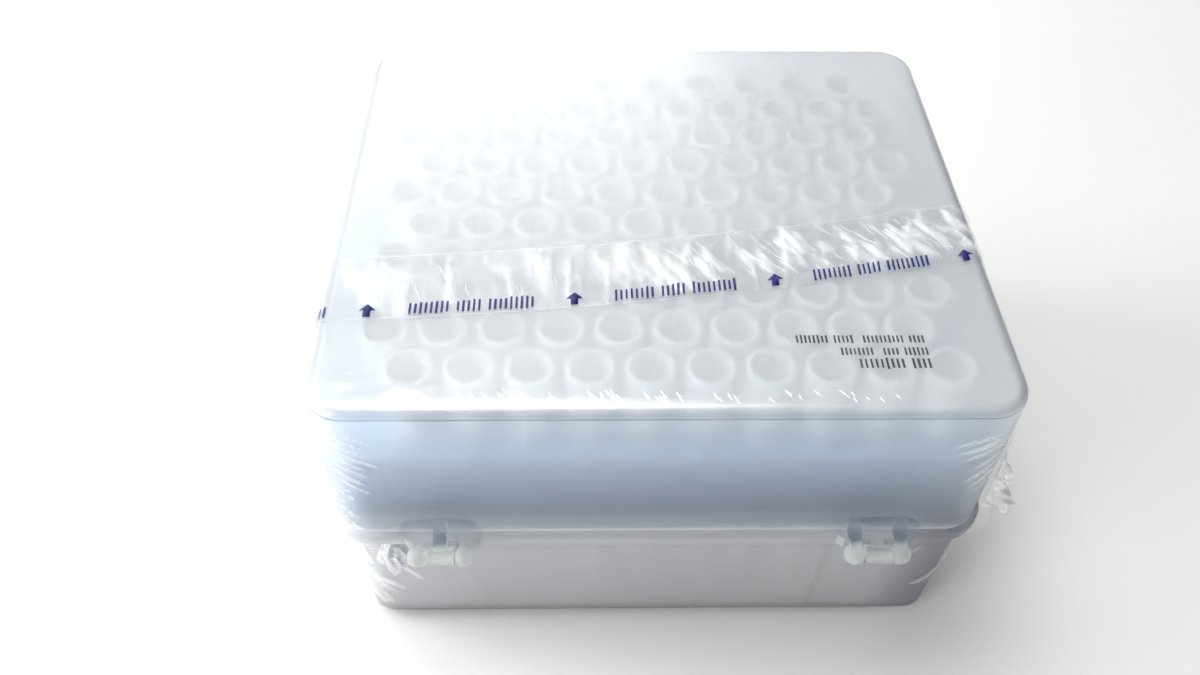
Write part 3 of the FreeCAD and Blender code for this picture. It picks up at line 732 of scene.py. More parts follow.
def pleat_form(ridge: Ridge, level: float, sections: int = 7, least: float = 0.02) -> Form:
    """Makes a ridge into a slim closed form that lies on a level surface.

    Args:
        ridge: The ridge, over x and y.
        level: The surface's height.
        sections: How many sections it has along its length.
        least: How slender its ends are: 0 would be points.

    Returns:
        Its vertices and faces.
    """
    along = np.linspace(-1.0, 1.0, sections)[:, None]
    swell = np.sqrt(np.clip(1 - along**2, least, None))
    way = np.array([math.cos(ridge.turn), math.sin(ridge.turn), 0.0])
    side, up = np.array([-way[1], way[0], 0.0]), np.array([0.0, 0.0, 1.0])
    middle = np.array([ridge.u, ridge.v, level]) + along * way * ridge.length / 2
    foot = middle - up * PLEAT_SINK
    spine = middle + up * swell * ridge.height
    points = np.stack([foot + side * swell * ridge.width, spine, foot - side * swell * ridge.width], axis=1)
    faces = []
    for first in range(0, 3 * (sections - 1), 3):
        for one, two in ((0, 1), (1, 2), (2, 0)):
            faces.append([first + one, first + two, first + 3 + two, first + 3 + one])
    last = 3 * (sections - 1)
    return points.reshape(-1, 3), [*faces, [0, 2, 1], [last, last + 1, last + 2]]


def join_pleats(name: str, forms: Sequence[Form], whiteness: float, material: bpy.types.Material) -> Any:
    """Makes one piece out of the forms of many pleats.

    Args:
        name: The piece's name.
        forms: Each pleat's vertices and faces.
        whiteness: How sharply the film is creased there, from 0 to 1; the material whitens it, partly as the
            film's own whitening and partly as painted highlight.
        material: The piece's material.

    Returns:
        The piece.
    """
    points: list[Array] = []
    faces: list[list[int]] = []
    for form, sides in forms:
        start = sum(len(block) for block in points)
        points.append(form)
        faces += [[start + index for index in side] for side in sides]
    piece = new_piece(name, np.concatenate(points), faces, material)
    mark_creases(piece, np.full(len(piece.data.vertices), whiteness))
    return piece


def grid_faces(number: Array) -> Array:
    """The faces of a grid, from the numbers of its vertices."""
    corners = [number[:-1, :-1], number[1:, :-1], number[1:, 1:], number[:-1, 1:]]
    return np.stack(corners, axis=-1).reshape(-1, 4)


@dataclass(frozen=True)
class Spread:
    """A patch of the film's surface with ridges strewn over it."""

    seed: int
    count: int
    u: Span
    v: Span
    turn: Span
    length: Span
    width: Span
    height: Span

    def ridges(self) -> list[Ridge]:
        """Draws the patch's ridges.

        Returns:
            The ridges.
        """
        draw = np.random.default_rng(self.seed)
        ranges = (self.u, self.v, self.turn, self.length, self.width, self.height)
        table = np.stack([draw.uniform(low, high, self.count) for low, high in ranges], axis=1)
        return [Ridge(*row) for row in table.tolist()]


@dataclass(frozen=True)
class Fan:
    """Pleats that spread evenly from one side of a patch of film."""

    seed: int
    count: int
    start: Span
    step: float
    turn: Span
    length: Span
    width: float
    height: Span
    uneven_turn: float = 0.03
    uneven_start: float = 0.6 * MM
    uneven_width: float = 0.15

    def ridges(self) -> list[Ridge]:
        """Lays the pleats, one below the other.

        Returns:
            The ridges.
        """
        draw = np.random.default_rng(self.seed)
        rows = []
        for index in range(self.count):
            turn = np.interp(index, (0, self.count - 1), self.turn)
            turn += draw.uniform(-self.uneven_turn, self.uneven_turn)
            length = draw.uniform(*self.length)
            u = self.start[0] + math.cos(turn) * length / 2
            u += draw.uniform(-self.uneven_start, self.uneven_start)
            v = self.start[1] - index * self.step + math.sin(turn) * length / 2
            width = self.width * draw.uniform(1 - self.uneven_width, 1 + self.uneven_width)
            rows.append(Ridge(u, v, turn, length, width, draw.uniform(*self.height)))
        return rows


@dataclass
class Shell:
    """A wrinkled cover in the making: its vertices, the way they face and their charts."""

    points: Array
    facing: Array
    around: Array
    cap: Array
    faces: list[list[int]]


def build_shell(plan: Plan, rings: Sequence[Ring], columns: int, rows: int, cap_up: bool) -> Shell:
    """Lays a grid over a cover: a flat cap, and rings from its rim along the profile.

    Args:
        plan: The cover's plan.
        rings: The profile, from the cap outwards.
        columns: Cells of the cap along X.
        rows: Cells of the cap along Y.
        cap_up: Whether the cap is the top, and not the foot.

    Returns:
        The shell. around is the distance along the plan's rim from the middle of the hinge side, and cap
        marks the cap's own vertices.
    """
    across, deep = np.linspace(-1, 1, columns + 1), np.linspace(0, 1, rows + 1)
    across = across + FINER_ENDS * np.sin(math.pi * across) / math.pi
    u, v = np.meshgrid(across, 2 * deep**FINER_FRONT - 1, indexing="ij")
    number = np.arange(u.size).reshape(u.shape)
    rim = np.concatenate([number[:-1, 0], number[-1, :-1], number[:0:-1, -1], number[0, :0:-1]])
    rim_u, rim_v = u.ravel()[rim], v.ravel()[rim]
    first = rings[0]
    cap_x, cap_y = plan.place(u.ravel(), v.ravel(), first.inset)
    sign = 1.0 if cap_up else -1.0
    points = [np.stack([cap_x, cap_y, np.full_like(cap_x, first.height)], axis=1)]
    facing = [np.tile((0.0, 0.0, sign), (u.size, 1))]
    out_x, out_y = plan.outward(rim_u, rim_v)
    rim_x, rim_y = plan.place(rim_u, rim_v, 0.0)
    steps = np.hypot(np.diff(rim_x, append=rim_x[0]), np.diff(rim_y, append=rim_y[0]))
    distance = np.concatenate([[0.0], np.cumsum(steps)[:-1]])
    around_rim = distance - distance[columns // 2]
    around = [np.zeros(u.size)]
    loops = [rim]
    for ring in rings[1:]:
        x, y = plan.place(rim_u, rim_v, ring.inset)
        start = u.size + (len(loops) - 1) * rim.size
        points.append(np.stack([x, y, np.full_like(x, ring.height)], axis=1))
        facing.append(np.stack([out_x * ring.out, out_y * ring.out, np.full_like(x, ring.up)], axis=1))
        around.append(around_rim)
        loops.append(start + np.arange(rim.size))
    faces = [grid_faces(number)]
    for upper, lower in zip(loops, loops[1:]):
        faces.append(np.stack([upper, lower, np.roll(lower, -1), np.roll(upper, -1)], axis=1))
    quads = np.concatenate(faces)
    if not cap_up:
        quads = quads[:, ::-1]
    cap = np.zeros(sum(len(block) for block in points), bool)
    cap[: u.size] = True
    return Shell(np.concatenate(points), np.concatenate(facing), np.concatenate(around), cap, quads.tolist())


# Sub-assemblies


@dataclass
class BoxSizes:
    """The sizes that the film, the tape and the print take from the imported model."""

    corner_radius: float = 8.0 * MM
    edge_radius: float = 2.0 * MM
    foot_radius: float = 2.5 * MM
    flange_reach: float = 1.1 * MM
    flange_height: float = 3.0 * MM
    foot_rise: float = 4.0 * MM
    knee_drop: float = 8.0 * MM
    shoulder_drop: float = 6.0 * MM
    seam_half_gap: float = 0.3 * MM
    foot_inset: float = 2.0 * MM
    top_inset: float = 0.9 * MM
    lid_top: float = field(init=False)
    half_width: float = field(init=False)
    half_depth: float = field(init=False)
    seam: float = field(init=False)
    foot: float = field(init=False)

    def __post_init__(self) -> None:
        """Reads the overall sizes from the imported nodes."""
        self.half_width, self.half_depth, self.lid_top = (float(value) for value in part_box("lid")[1])
        self.seam = float(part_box("lid_film")[0][2]) - self.seam_half_gap
        self.foot = float(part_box("base_tray")[0][2])

    @property
    def plan(self) -> Plan:
        """The lid's outside, from above."""
        return Plan(self.half_width, self.half_depth, self.corner_radius)

    def lid_profile(self, offset: float, spacing: float) -> list[Ring]:
        """The profile of a cover over the lid.

        Args:
            offset: How far the cover lies off the plastic.
            spacing: The greatest distance between rings.

        Returns:
            The rings, from the roof to the ledge.
        """
        top = self.lid_top + offset
        shoulder = self.lid_top - self.shoulder_drop
        rings = arc_rings(-offset, top, self.edge_radius + offset, 1.0)
        levels = [
            (-offset, rings[-1].height),
            (-offset, shoulder),
            (-self.flange_reach - offset, self.seam + self.seam_half_gap),
        ]
        return rings + wall_rings(levels, spacing)

    def tray_profile(self, offset: float, spacing: float) -> list[Ring]:
        """The profile of a cover over the tray.

        Args:
            offset: How far the cover lies off the plastic.
            spacing: The greatest distance between rings.

        Returns:
            The rings, from the foot to the ledge.
        """
        start = self.foot + self.foot_rise
        knee = self.seam - self.knee_drop
        part = (knee - start) / (self.seam - start)
        knee_inset = self.foot_inset + (self.top_inset - self.foot_inset) * part
        rings = arc_rings(self.foot_inset - offset, self.foot - offset, self.foot_radius + offset, -1.0)
        levels = [
            (self.foot_inset - offset, rings[-1].height),
            (self.foot_inset - offset, start),
            (knee_inset - offset, knee),
            (-self.flange_reach - offset, self.seam - self.flange_height - offset),
            (-self.flange_reach - offset, self.seam - self.seam_half_gap),
        ]
        return rings + wall_rings(levels, spacing)


@dataclass
class MouldedPieces:
    """The lid, the base, the rack and the tips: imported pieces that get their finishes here."""

    groups: Groups
    nodes: dict[str, Any]
    lid: MouldedPlastic = MouldedPlastic(
        "frosted_lid",
        colour=(0.88, 0.915, 0.945),
        cloud_colour=(0.855, 0.895, 0.93),
        clearness=0.65,
        upright_clearness=0.98,
        # painted shade: the roof and the rim's ledge darker than the walls
        level_colour=(0.76, 0.79, 0.81),
        # painted shade: a thin dark line round the roof's rounded edge
        edge_colour=(0.2, 0.26, 0.34),
        zones=(
            Zone((0.75, 0.82, 0.90), 0.98, high=42.0 * MM, blur=14.0 * MM),  # painted shade: the wall's lower part, darker and bluer towards the seam
            Zone((0.93, 0.95, 0.97), 0.6, high=38.5 * MM, blur=0.4 * MM),  # the rim: paler and less clear, a painted highlight along its ledge
            Zone((0.90, 0.92, 0.91), 0.75, back=-60.1 * MM, high=HINGE_TOP),  # the hinges' knuckles
            Zone((0.66, 0.72, 0.80), 0.96, front=-60.0 * MM, back=-57.6 * MM),  # the posts that carry them, darkened: painted shade
            # painted shade: the posts' part beyond the wall, above the knuckles, darkened
            Zone((0.66, 0.72, 0.80), 0.97, front=-64.0 * MM, back=-60.0 * MM, low=HINGE_TOP + 0.3 * MM),
        ),
        upright_blur=0.18,
        light_passed=0.8,
        upright_share=0.3,
        refraction=1.3,
        roughness=0.42,
    )
    tray: MouldedPlastic = MouldedPlastic(
        "frosted_base",
        colour=(0.885, 0.90, 0.925),
        cloud_colour=(0.85, 0.865, 0.89),
        # painted shadow: a near-black line along the bottom edge, where the base meets the bench
        foot_colour=(0.01, 0.01, 0.015),
        foot_heights=mm(1.95, 2.4),
        zones=(
            Zone((0.42, 0.43, 0.51), 0.8, front=60.0 * MM, blur=12.0 * MM, axis=Axis.X),  # painted shade: the end at +X, away from the light, darkened
            Zone((0.90, 0.92, 0.91), 0.75, back=-60.3 * MM),  # the hinges' knuckles
        ),
        clearness=0.7,
        light_passed=0.7,
        upright_share=0.5,
        refraction=1.3,
        roughness=0.42,
        grain_depth=0.12,
    )
    rack: MouldedPlastic = MouldedPlastic(
        "rack_plastic",
        colour=(0.40, 0.53, 0.68),
        cloud_colour=(0.37, 0.50, 0.65),
        # painted shade: the skirt darkens towards its foot, below the deck, where less light reaches
        foot_colour=(0.015, 0.05, 0.14),
        foot_heights=mm(40.0, 60.0),
        roughness=0.35,
    )
    tips: MouldedPlastic = MouldedPlastic(
        "tip_plastic",
        colour=(0.93, 0.94, 0.95),
        cloud_colour=(0.91, 0.925, 0.94),
        # painted shade: the tips' rims darker and bluer than their sides
        level_colour=(0.83, 0.88, 0.92),
        clearness=0.1,
        light_passed=0.8,
        grain_depth=0.05,
    )

    def dress(self) -> None:
        """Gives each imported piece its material."""
        finishes = {"lid": self.lid, "base_tray": self.tray, "tip_rack": self.rack}
        materials = {name: finish.build(self.groups) for name, finish in finishes.items()}
        tips = self.tips.build(self.groups)
        for name, node in self.nodes.items():
            material = tips if name.startswith("tip_row") else materials.get(name)
            if material is None:
                continue
            for slot in node.material_slots:
                slot.material = material
            LOG.info("dressed %s in %s", name, material.name)


@dataclass(frozen=True)
class Window:
    """A hole with round corners on the hinge side of the film."""

    x: float
    z: float
    half_width: float
    half_height: float
    squareness: float = 4.0

    def depth(self, points: Array) -> Array:
        """How far points lie from the middle.

        Args:
            points: The points.

        Returns:
            1 on the hole's edge, beyond it more, and infinity on the box's other sides.
        """
        across = np.abs(points[:, 0] - self.x) / self.half_width
        along = np.abs(points[:, 2] - self.z) / self.half_height
        depth = (across**self.squareness + along**self.squareness) ** (1 / self.squareness)
        return np.where(points[:, 1] < 0, depth, np.inf)

    def cut(self, points: Array, faces: list[list[int]]) -> list[list[int]]:
        """Cuts the hole, and draws the vertices beside it onto its edge.

        Args:
            points: The film's vertices, some of which are moved.
            faces: Its faces.

        Returns:
            The faces that are left.
        """
        depth = self.depth(points)
        kept = [face for face in faces if any(depth[index] >= 1 for index in face)]
        edge = sorted({index for face in kept for index in face if depth[index] < 1})
        for axis, middle in ((0, self.x), (2, self.z)):
            points[edge, axis] = middle + (points[edge, axis] - middle) / depth[edge]
        return kept


@dataclass
class ShrinkFilm:
    """The clear shrink film over the lid and the base, with its wrinkles."""

    sizes: BoxSizes
    groups: Groups
    shrunk: ClearFilm = ClearFilm(
        "shrink_film", least_mirror=0.02, most_mirror=0.18, line_haze=0.015, crease_haze=0.55, roughness=0.25,
        line_scale=160.0, line_depth=0.05, stretch=(1.0, 1.0, 0.25), level_gain=2.5)
    material: bpy.types.Material = field(init=False)
    offset: float = 0.22 * MM
    wall: float = 0.06 * MM
    spacing: float = 1.1 * MM
    columns: int = 200
    rows: int = 72
    fine_from: float = 54.0 * MM
    # how white the folds turn: partly the film's own whitening at creases, partly painted highlight
    crease_lift: float = 0.5 * MM
    wall_whiteness: float = 1.1
    pleat_whiteness: float = 0.75
    hinge_spread: float = 43.2 * MM
    window_half: float = 8.0 * MM
    window_rise: float = 6.3 * MM
    window_drop: float = 5.2 * MM
    # a painted highlight along the lid's near top edge, strongest towards -X, where the light falls
    band_inset: float = 2.2 * MM
    band_width: float = 1.7 * MM
    band_depth: float = 3.0 * MM
    band_along: Span = mm(-60, -50, -10, 25, 50)
    band_amounts: Span = (0.2, 0.45, 0.4, 0.22, 0.05)
    bulge_start: float = 2.0 * MM
    bulge_spread: float = 9.0 * MM
    bulge_height: float = 2.2 * MM

    def __post_init__(self) -> None:
        """Builds the film's material."""
        self.material = self.shrunk.build(self.groups)

    def windows(self) -> list[Window]:
        """The holes round the hinges.

        Returns:
            The windows.
        """
        middle = self.sizes.seam + (self.window_rise - self.window_drop) / 2
        half = (self.window_rise + self.window_drop) / 2
        return [Window(x, middle, self.window_half, half) for x in (-self.hinge_spread, self.hinge_spread)]

    def wall_spreads(self) -> list[Spread | Fan]:
        """The folds on the lid's walls, over the distance along the rim and the height.

        Returns:
            The spreads and fans.
        """
        left, right = -self.sizes.half_width, self.sizes.half_width
        return [
            Fan(11, 8, (left + 4 * MM, 71 * MM), 1.9 * MM, (-0.42, -0.62),
                mm(7, 13), 0.36 * MM, mm(0.22, 0.42)),
            Fan(14, 7, (left + 2 * MM, 55 * MM), 1.7 * MM, (-0.45, -0.7),
                mm(4, 8), 0.38 * MM, mm(0.18, 0.34)),
            Fan(12, 7, (right - 0.5 * MM, 71.0 * MM), 1.5 * MM, (math.pi + 0.42, math.pi + 0.98),
                mm(10, 16), 0.55 * MM, mm(0.22, 0.34)),
            Fan(15, 5, (right + 5 * MM, 66 * MM), 2.2 * MM, (math.pi + 0.8, math.pi + 1.15),
                mm(9, 15), 0.6 * MM, mm(0.18, 0.3)),
            Spread(13, 46, (right + 12 * MM, 240 * MM), mm(40, 70), (1.2, 1.9),
                   mm(8, 22), mm(0.5, 0.9), mm(0.08, 0.25)),
            Spread(16, 46, (-240 * MM, left - 8 * MM), mm(40, 70), (1.2, 1.9),
                   mm(8, 22), mm(0.5, 0.9), mm(0.08, 0.25)),
        ]

    def roof_spreads(self) -> list[Spread]:
        """The folds on the roof, over x and y.

        Returns:
            The spreads.
        """
        return [
            Spread(22, 8, mm(-30, 55), mm(-12, 8), (0.05, 0.2), mm(14, 40), mm(0.25, 0.35), mm(0.05, 0.12)),
            Spread(23, 6, mm(-60, -40), mm(-54, -46), (-0.3, 0.4), mm(4, 10), mm(0.35, 0.5), mm(0.05, 0.15)),
        ]

    def edge_spreads(self) -> list[Spread]:
        """The fine, sharp pleats by the lid's near top edge, over x and y.

        Returns:
            The spreads.
        """
        depth, turn = mm(-54.8, -52.6), (1.95, 2.35)
        length, width, height = mm(1.6, 4.2), mm(0.12, 0.22), mm(0.05, 0.12)
        return [
            Spread(21, 16, mm(-37, -25), depth, turn, length, width, height),
            Spread(24, 16, mm(-21, -8), depth, turn, length, width, height),
            Spread(25, 12, mm(-4, 12), depth, turn, mm(1.4, 3.2), width, height),
            Spread(26, 12, mm(16, 46), depth, turn, mm(1.0, 2.2), width, height),
        ]

    def tray_spreads(self) -> list[Spread]:
        """The folds on the base's walls.

        Returns:
            The spreads.
        """
        left, right = -self.sizes.half_width, self.sizes.half_width
        return [
            Spread(31, 50, mm(-240, 240), mm(8, 30), (1.2, 1.9), mm(6, 16), mm(0.7, 1.2), mm(0.03, 0.08)),
            Spread(32, 8, (right - 14 * MM, right + 8 * MM), mm(8, 32), (0.8, 1.5),
                   mm(8, 20), mm(0.4, 0.8), mm(0.1, 0.26)),
            Spread(33, 16, (left - 4 * MM, left + 14 * MM), mm(8, 32), (1.6, 2.5),
                   mm(8, 18), mm(0.4, 0.7), mm(0.15, 0.4)),
        ]

    def build_cover(self, name: str, shell: Shell, lift: Array, whitening_and_highlight: Array) -> Any:
        """Makes a film cover out of a shell.

        Args:
            name: The piece's name.
            shell: The plain cover.
            lift: How far each vertex stands off it.
            whitening_and_highlight: How much each vertex is whitened: partly the film's own whitening at
                creases, partly painted highlight.

        Returns:
            The piece, with its windows cut and its wall given.
        """
        points = shell.points + shell.facing * lift[:, None]
        faces = shell.faces
        for window in self.windows():
            faces = window.cut(points, faces)
        used = sorted({index for face in faces for index in face})
        renumber = {old: new for new, old in enumerate(used)}
        faces = [[renumber[index] for index in face] for face in faces]
        piece = new_piece(name, points[used], faces, self.material)
        mark_creases(piece, whitening_and_highlight[used])
        thicken(piece, self.wall)
        return piece

    def edge_band(self, points: Array) -> Array:
        """The painted highlight on the film along the lid's near top edge, strongest towards -X, where the
        light falls.

        Args:
            points: Where.

        Returns:
            The painted highlight, from 0 to 1.
        """
        x, y, z = points.T
        across = np.exp(-(((y + self.sizes.half_depth - self.band_inset) / self.band_width) ** 2))
        along = np.interp(x, self.band_along, self.band_amounts)
        return across * along * (z > self.sizes.lid_top - self.band_depth)

    def finer_top(self, rings: list[Ring]) -> list[Ring]:
        """Splits the rings of the wall's upper half, where the pleats are fine.

        Args:
            rings: The rings.

        Returns:
            The rings, with one more between each upper pair.
        """
        split = []
        for ring, after in zip(rings, rings[1:]):
            split.append(ring)
            if self.fine_from < after.height and ring.out > UPRIGHT:
                split.append(Ring(*((np.array(astuple(ring)) + np.array(astuple(after))) / 2).tolist()))
        return [*split, rings[-1]]

    def build_lid_film(self) -> Any:
        """Builds the film over the lid.

        Returns:
            The piece.
        """
        rings = self.finer_top(self.sizes.lid_profile(self.offset, self.spacing))
        shell = build_shell(self.sizes.plan, rings, self.columns, self.rows, cap_up=True)
        x, y, z = shell.points.T
        wall, roof = ~shell.cap, shell.cap
        lift = np.zeros(len(shell.points))
        lift[wall] = raised(shell.around[wall], z[wall], ridges_of(self.wall_spreads()))
        lift[roof] = raised(x[roof], y[roof], ridges_of(self.roof_spreads()))
        # whitening along the folds: partly the film's own whitening at creases, partly painted highlight
        whitening_and_highlight = lift / self.crease_lift * np.where(wall, self.wall_whiteness, 1.0)
        # painted highlight along the near top edge
        whitening_and_highlight += self.edge_band(shell.points)
        off_corner = (shell.around - self.sizes.half_width - self.bulge_start) / self.bulge_spread
        off_seam = (z - self.sizes.seam) / self.bulge_spread
        lift += np.where(wall, np.exp(-(off_corner**2)) * np.exp(-(off_seam**2)) * self.bulge_height, 0.0)
        piece = self.build_cover("film_over_lid", shell, lift, whitening_and_highlight)
        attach(piece, Part.LID.value)
        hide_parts("lid_film")
        return piece

    def build_pleats(self) -> Any:
        """Builds the fine pleats by the lid's near top edge.

        Returns:
            The piece.
        """
        level = self.sizes.lid_top + self.offset + self.wall / 2
        forms = [pleat_form(ridge, level) for ridge in ridges_of(self.edge_spreads())]
        piece = join_pleats("film_pleats", forms, self.pleat_whiteness, self.material)
        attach(piece, Part.LID.value)
        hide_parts("lid_film")
        return piece

    def build_base_film(self) -> Any:
        """Builds the film over the base.

        Returns:
            The piece.
        """
        rings = self.sizes.tray_profile(self.offset, self.spacing)
        shell = build_shell(self.sizes.plan, rings, self.columns, self.rows, cap_up=False)
        wall = ~shell.cap
        lift = np.zeros(len(shell.points))
        lift[wall] = raised(shell.around[wall], shell.points[wall, 2], ridges_of(self.tray_spreads()))
        # whitening along the folds: partly the film's own whitening at creases, partly painted highlight
        whitening_and_highlight = lift / self.crease_lift * np.where(wall, self.wall_whiteness, 1.0)
        piece = self.build_cover("film_over_base", shell, lift, whitening_and_highlight)
        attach(piece, Part.BASE.value)
        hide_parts("base_film")
        return piece

    def build(self) -> None:
        """Builds both covers and the fine pleats."""
        for make in (self.build_lid_film, self.build_pleats, self.build_base_film):
            report(make())


@dataclass
class FilmEar:
    """The loose, fluttering ear of doubled film at the box's corner."""

    sizes: BoxSizes
    groups: Groups
    loose: ClearFilm = ClearFilm(
        "loose_film", least_mirror=0.25, most_mirror=0.9, line_haze=0.1, crease_haze=0.5, roughness=0.05,
        line_scale=260.0, line_depth=0.3)
    seed: int = 51
    cells: tuple[int, int] = (60, 24)
    off_lid: float = 0.22 * MM
    wall: float = 0.12 * MM
    y: float = -53.0 * MM
    rises: Span = mm(1.0, 4.0, 20.0)
    reaches: Span = mm(3.2, 6.2, 0.3)
    fray: tuple[Span, ...] = ((3, 0.5), (7, 0.35), (13, 0.2))
    frays_from: float = 2.0 * MM
    flutter: tuple[Span, ...] = ((2, 0.3, 1.0), (5, 0.6, 0.5), (9, 1.1, 0.25))
    folds: Span = (6, 1.5)
    fold_depth: float = 0.7 * MM
    droop: float = 0.8 * MM
    # whitened folds: partly the film's own whitening, partly painted highlight
    whiteness: float = 0.35

    def build(self) -> None:
        """Builds the ear, out from the lid's end and up from the seam."""
        steps = (np.linspace(0.0, 1.0, count + 1) for count in self.cells)
        along, out = np.meshgrid(*steps, indexing="ij")
        number = np.arange(along.size).reshape(along.shape)
        along, out = along.ravel(), out.ravel()
        draw = np.random.default_rng(self.seed)
        rise = self.rises[0] + (self.rises[-1] - self.rises[0]) * along
        reach = np.interp(rise, self.rises, self.reaches)
        fray = sum(size * np.sin(pace * along * math.tau + draw.uniform(0, math.tau))
                   for pace, size in self.fray)
        reach = reach + fray * MM * np.clip(reach / self.frays_from, 0.0, 1.0)
        flutter = sum(size * np.sin((pace * along + lean * out) * math.tau + draw.uniform(0, math.tau))
                      for pace, lean, size in self.flutter)
        fold = np.abs(np.sin((self.folds[0] * along + self.folds[1] * out) * math.pi))
        x = self.sizes.half_width + self.off_lid + reach * out
        y = self.y + flutter * out * MM + (fold - 0.5) * self.fold_depth * out
        points = np.stack([x, y, self.sizes.seam + rise - self.droop * out], axis=1)
        piece = new_piece("film_ear", points, grid_faces(number).tolist(), self.loose.build(self.groups))
        mark_creases(piece, (1 - fold) * self.whiteness)
        thicken(piece, self.wall)
        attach(piece, Part.LID.value)
        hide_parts("lid_film")
        report(piece)


@dataclass
class FilmWad:
    """The gathered, crumpled film beside the hinge at -X."""

    sizes: BoxSizes
    groups: Groups
    gathered: ClearFilm = ClearFilm(
        "gathered_film", least_mirror=0.5, most_mirror=0.95, line_haze=0.05, crease_haze=0.3, roughness=0.02,
        line_scale=420.0, line_depth=0.6, colour=(0.84, 0.86, 0.9))
    seed: int = 52
    cells: tuple[int, int] = (72, 48)
    x: float = -54.0 * MM
    y: float = -56.2 * MM
    drop: float = 10.0 * MM
    width: float = 8.0 * MM
    height: float = 13.0 * MM
    bulge: float = 3.6 * MM
    swell: float = 1.12
    pole: float = 0.47
    crumples: tuple[Span, ...] = ((0.2, 3.0), (0.14, 5.0), (0.1, 8.0), (0.06, 13.0))
    crease_gain: float = 1.8
    crease_start: float = 0.4
    # whitened creases: partly the film's own whitening, partly painted highlight
    whiteness: float = 0.45

    def build(self) -> None:
        """Builds the wad: a ball that is crumpled along waves that run every way."""
        turns, rises = self.cells
        turn, rise = np.meshgrid(np.linspace(0, math.tau, turns, endpoint=False),
                                 np.linspace(-self.pole, self.pole, rises) * math.pi, indexing="ij")
        number = np.arange(turn.size).reshape(turn.shape)
        turn, rise = turn.ravel(), rise.ravel()
        ball = np.stack([np.cos(rise) * np.cos(turn), np.cos(rise) * np.sin(turn), np.sin(rise)], axis=1)
        draw = np.random.default_rng(self.seed)
        crumple = np.zeros(len(ball))
        for size, pace in self.crumples:
            way = draw.normal(size=3)
            way /= np.linalg.norm(way)
            crumple -= size * np.abs(np.sin(ball @ way * pace + draw.uniform(0, math.tau)))
        radii = np.array([self.width / 2, self.bulge, self.height / 2])
        middle = np.array([self.x, self.y, self.sizes.seam - self.drop])
        points = middle + ball * (self.swell + crumple)[:, None] * radii
        sides = grid_faces(np.concatenate([number, number[:1]])).tolist()
        faces = [*sides, number[::-1, 0].tolist(), number[:, -1].tolist()]
        piece = new_piece("film_wad", points, faces, self.gathered.build(self.groups))
        mark_creases(piece, np.clip(-crumple * self.crease_gain - self.crease_start, 0.0, self.whiteness))
        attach(piece, Part.BASE.value)
        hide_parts("base_film")
        report(piece)


@dataclass
class Stretch:
    """A stretch of tape along a profile: over the roof and down both sides, or down the base's sides."""

    half_width: float
    rings: list[Ring]
    flat: bool
    ridges: list[Ridge]
    fade: float = 4.0 * MM
    least_share: float = 0.2
    most_lift: float = 0.75 * MM

    def __post_init__(self) -> None:
        """Measures the profile."""
        self.reach = np.array([self.half_width - ring.inset for ring in self.rings])
        self.height = np.array([ring.height for ring in self.rings])
        self.out = np.array([ring.out for ring in self.rings])
        self.up = np.array([ring.up for ring in self.rings])
        steps = np.hypot(np.diff(self.reach), np.diff(self.height))
        start = self.reach[0] if self.flat else 0.0
        self.length = start + np.concatenate([[0.0], np.cumsum(steps)])

    @property
    def end(self) -> float:
        """The distance along the tape to its end."""
        return float(self.length[-1])

    def distance_to(self, height: float) -> float:
        """The distance along the tape to where it comes down to a height."""
        return float(np.interp(-height, -self.height, self.length))

    def lift(self, a: Array, b: Array) -> Array:
        """How far the crinkles raise the tape, a along it and b from its near edge."""
        share = np.clip((self.end - np.abs(a)) / self.fade, self.least_share, 1.0)
        return np.minimum(raised(a, b, self.ridges), self.most_lift) * share

    def place(self, near_edge: Callable[[Array], Array], a: Array, b: Array, lift: Array) -> Array:
        """Where a point on the tape is.

        Args:
            near_edge: Gives the near edge's y for an x.
            a: Distance along the tape, signed by its side.
            b: Distance from the near edge.
            lift: How far off the profile.

        Returns:
            The points.
        """
        distance, side = np.abs(a), np.sign(a)
        on_roof = self.flat & (distance < self.reach[0])
        x = np.where(on_roof, distance, np.interp(distance, self.length, self.reach)) * side
        out = np.interp(distance, self.length, self.out) * side
        up = np.interp(distance, self.length, self.up)
        z = np.interp(distance, self.length, self.height)
        return np.stack([x + out * lift, near_edge(x) + b, z + up * lift], axis=1)


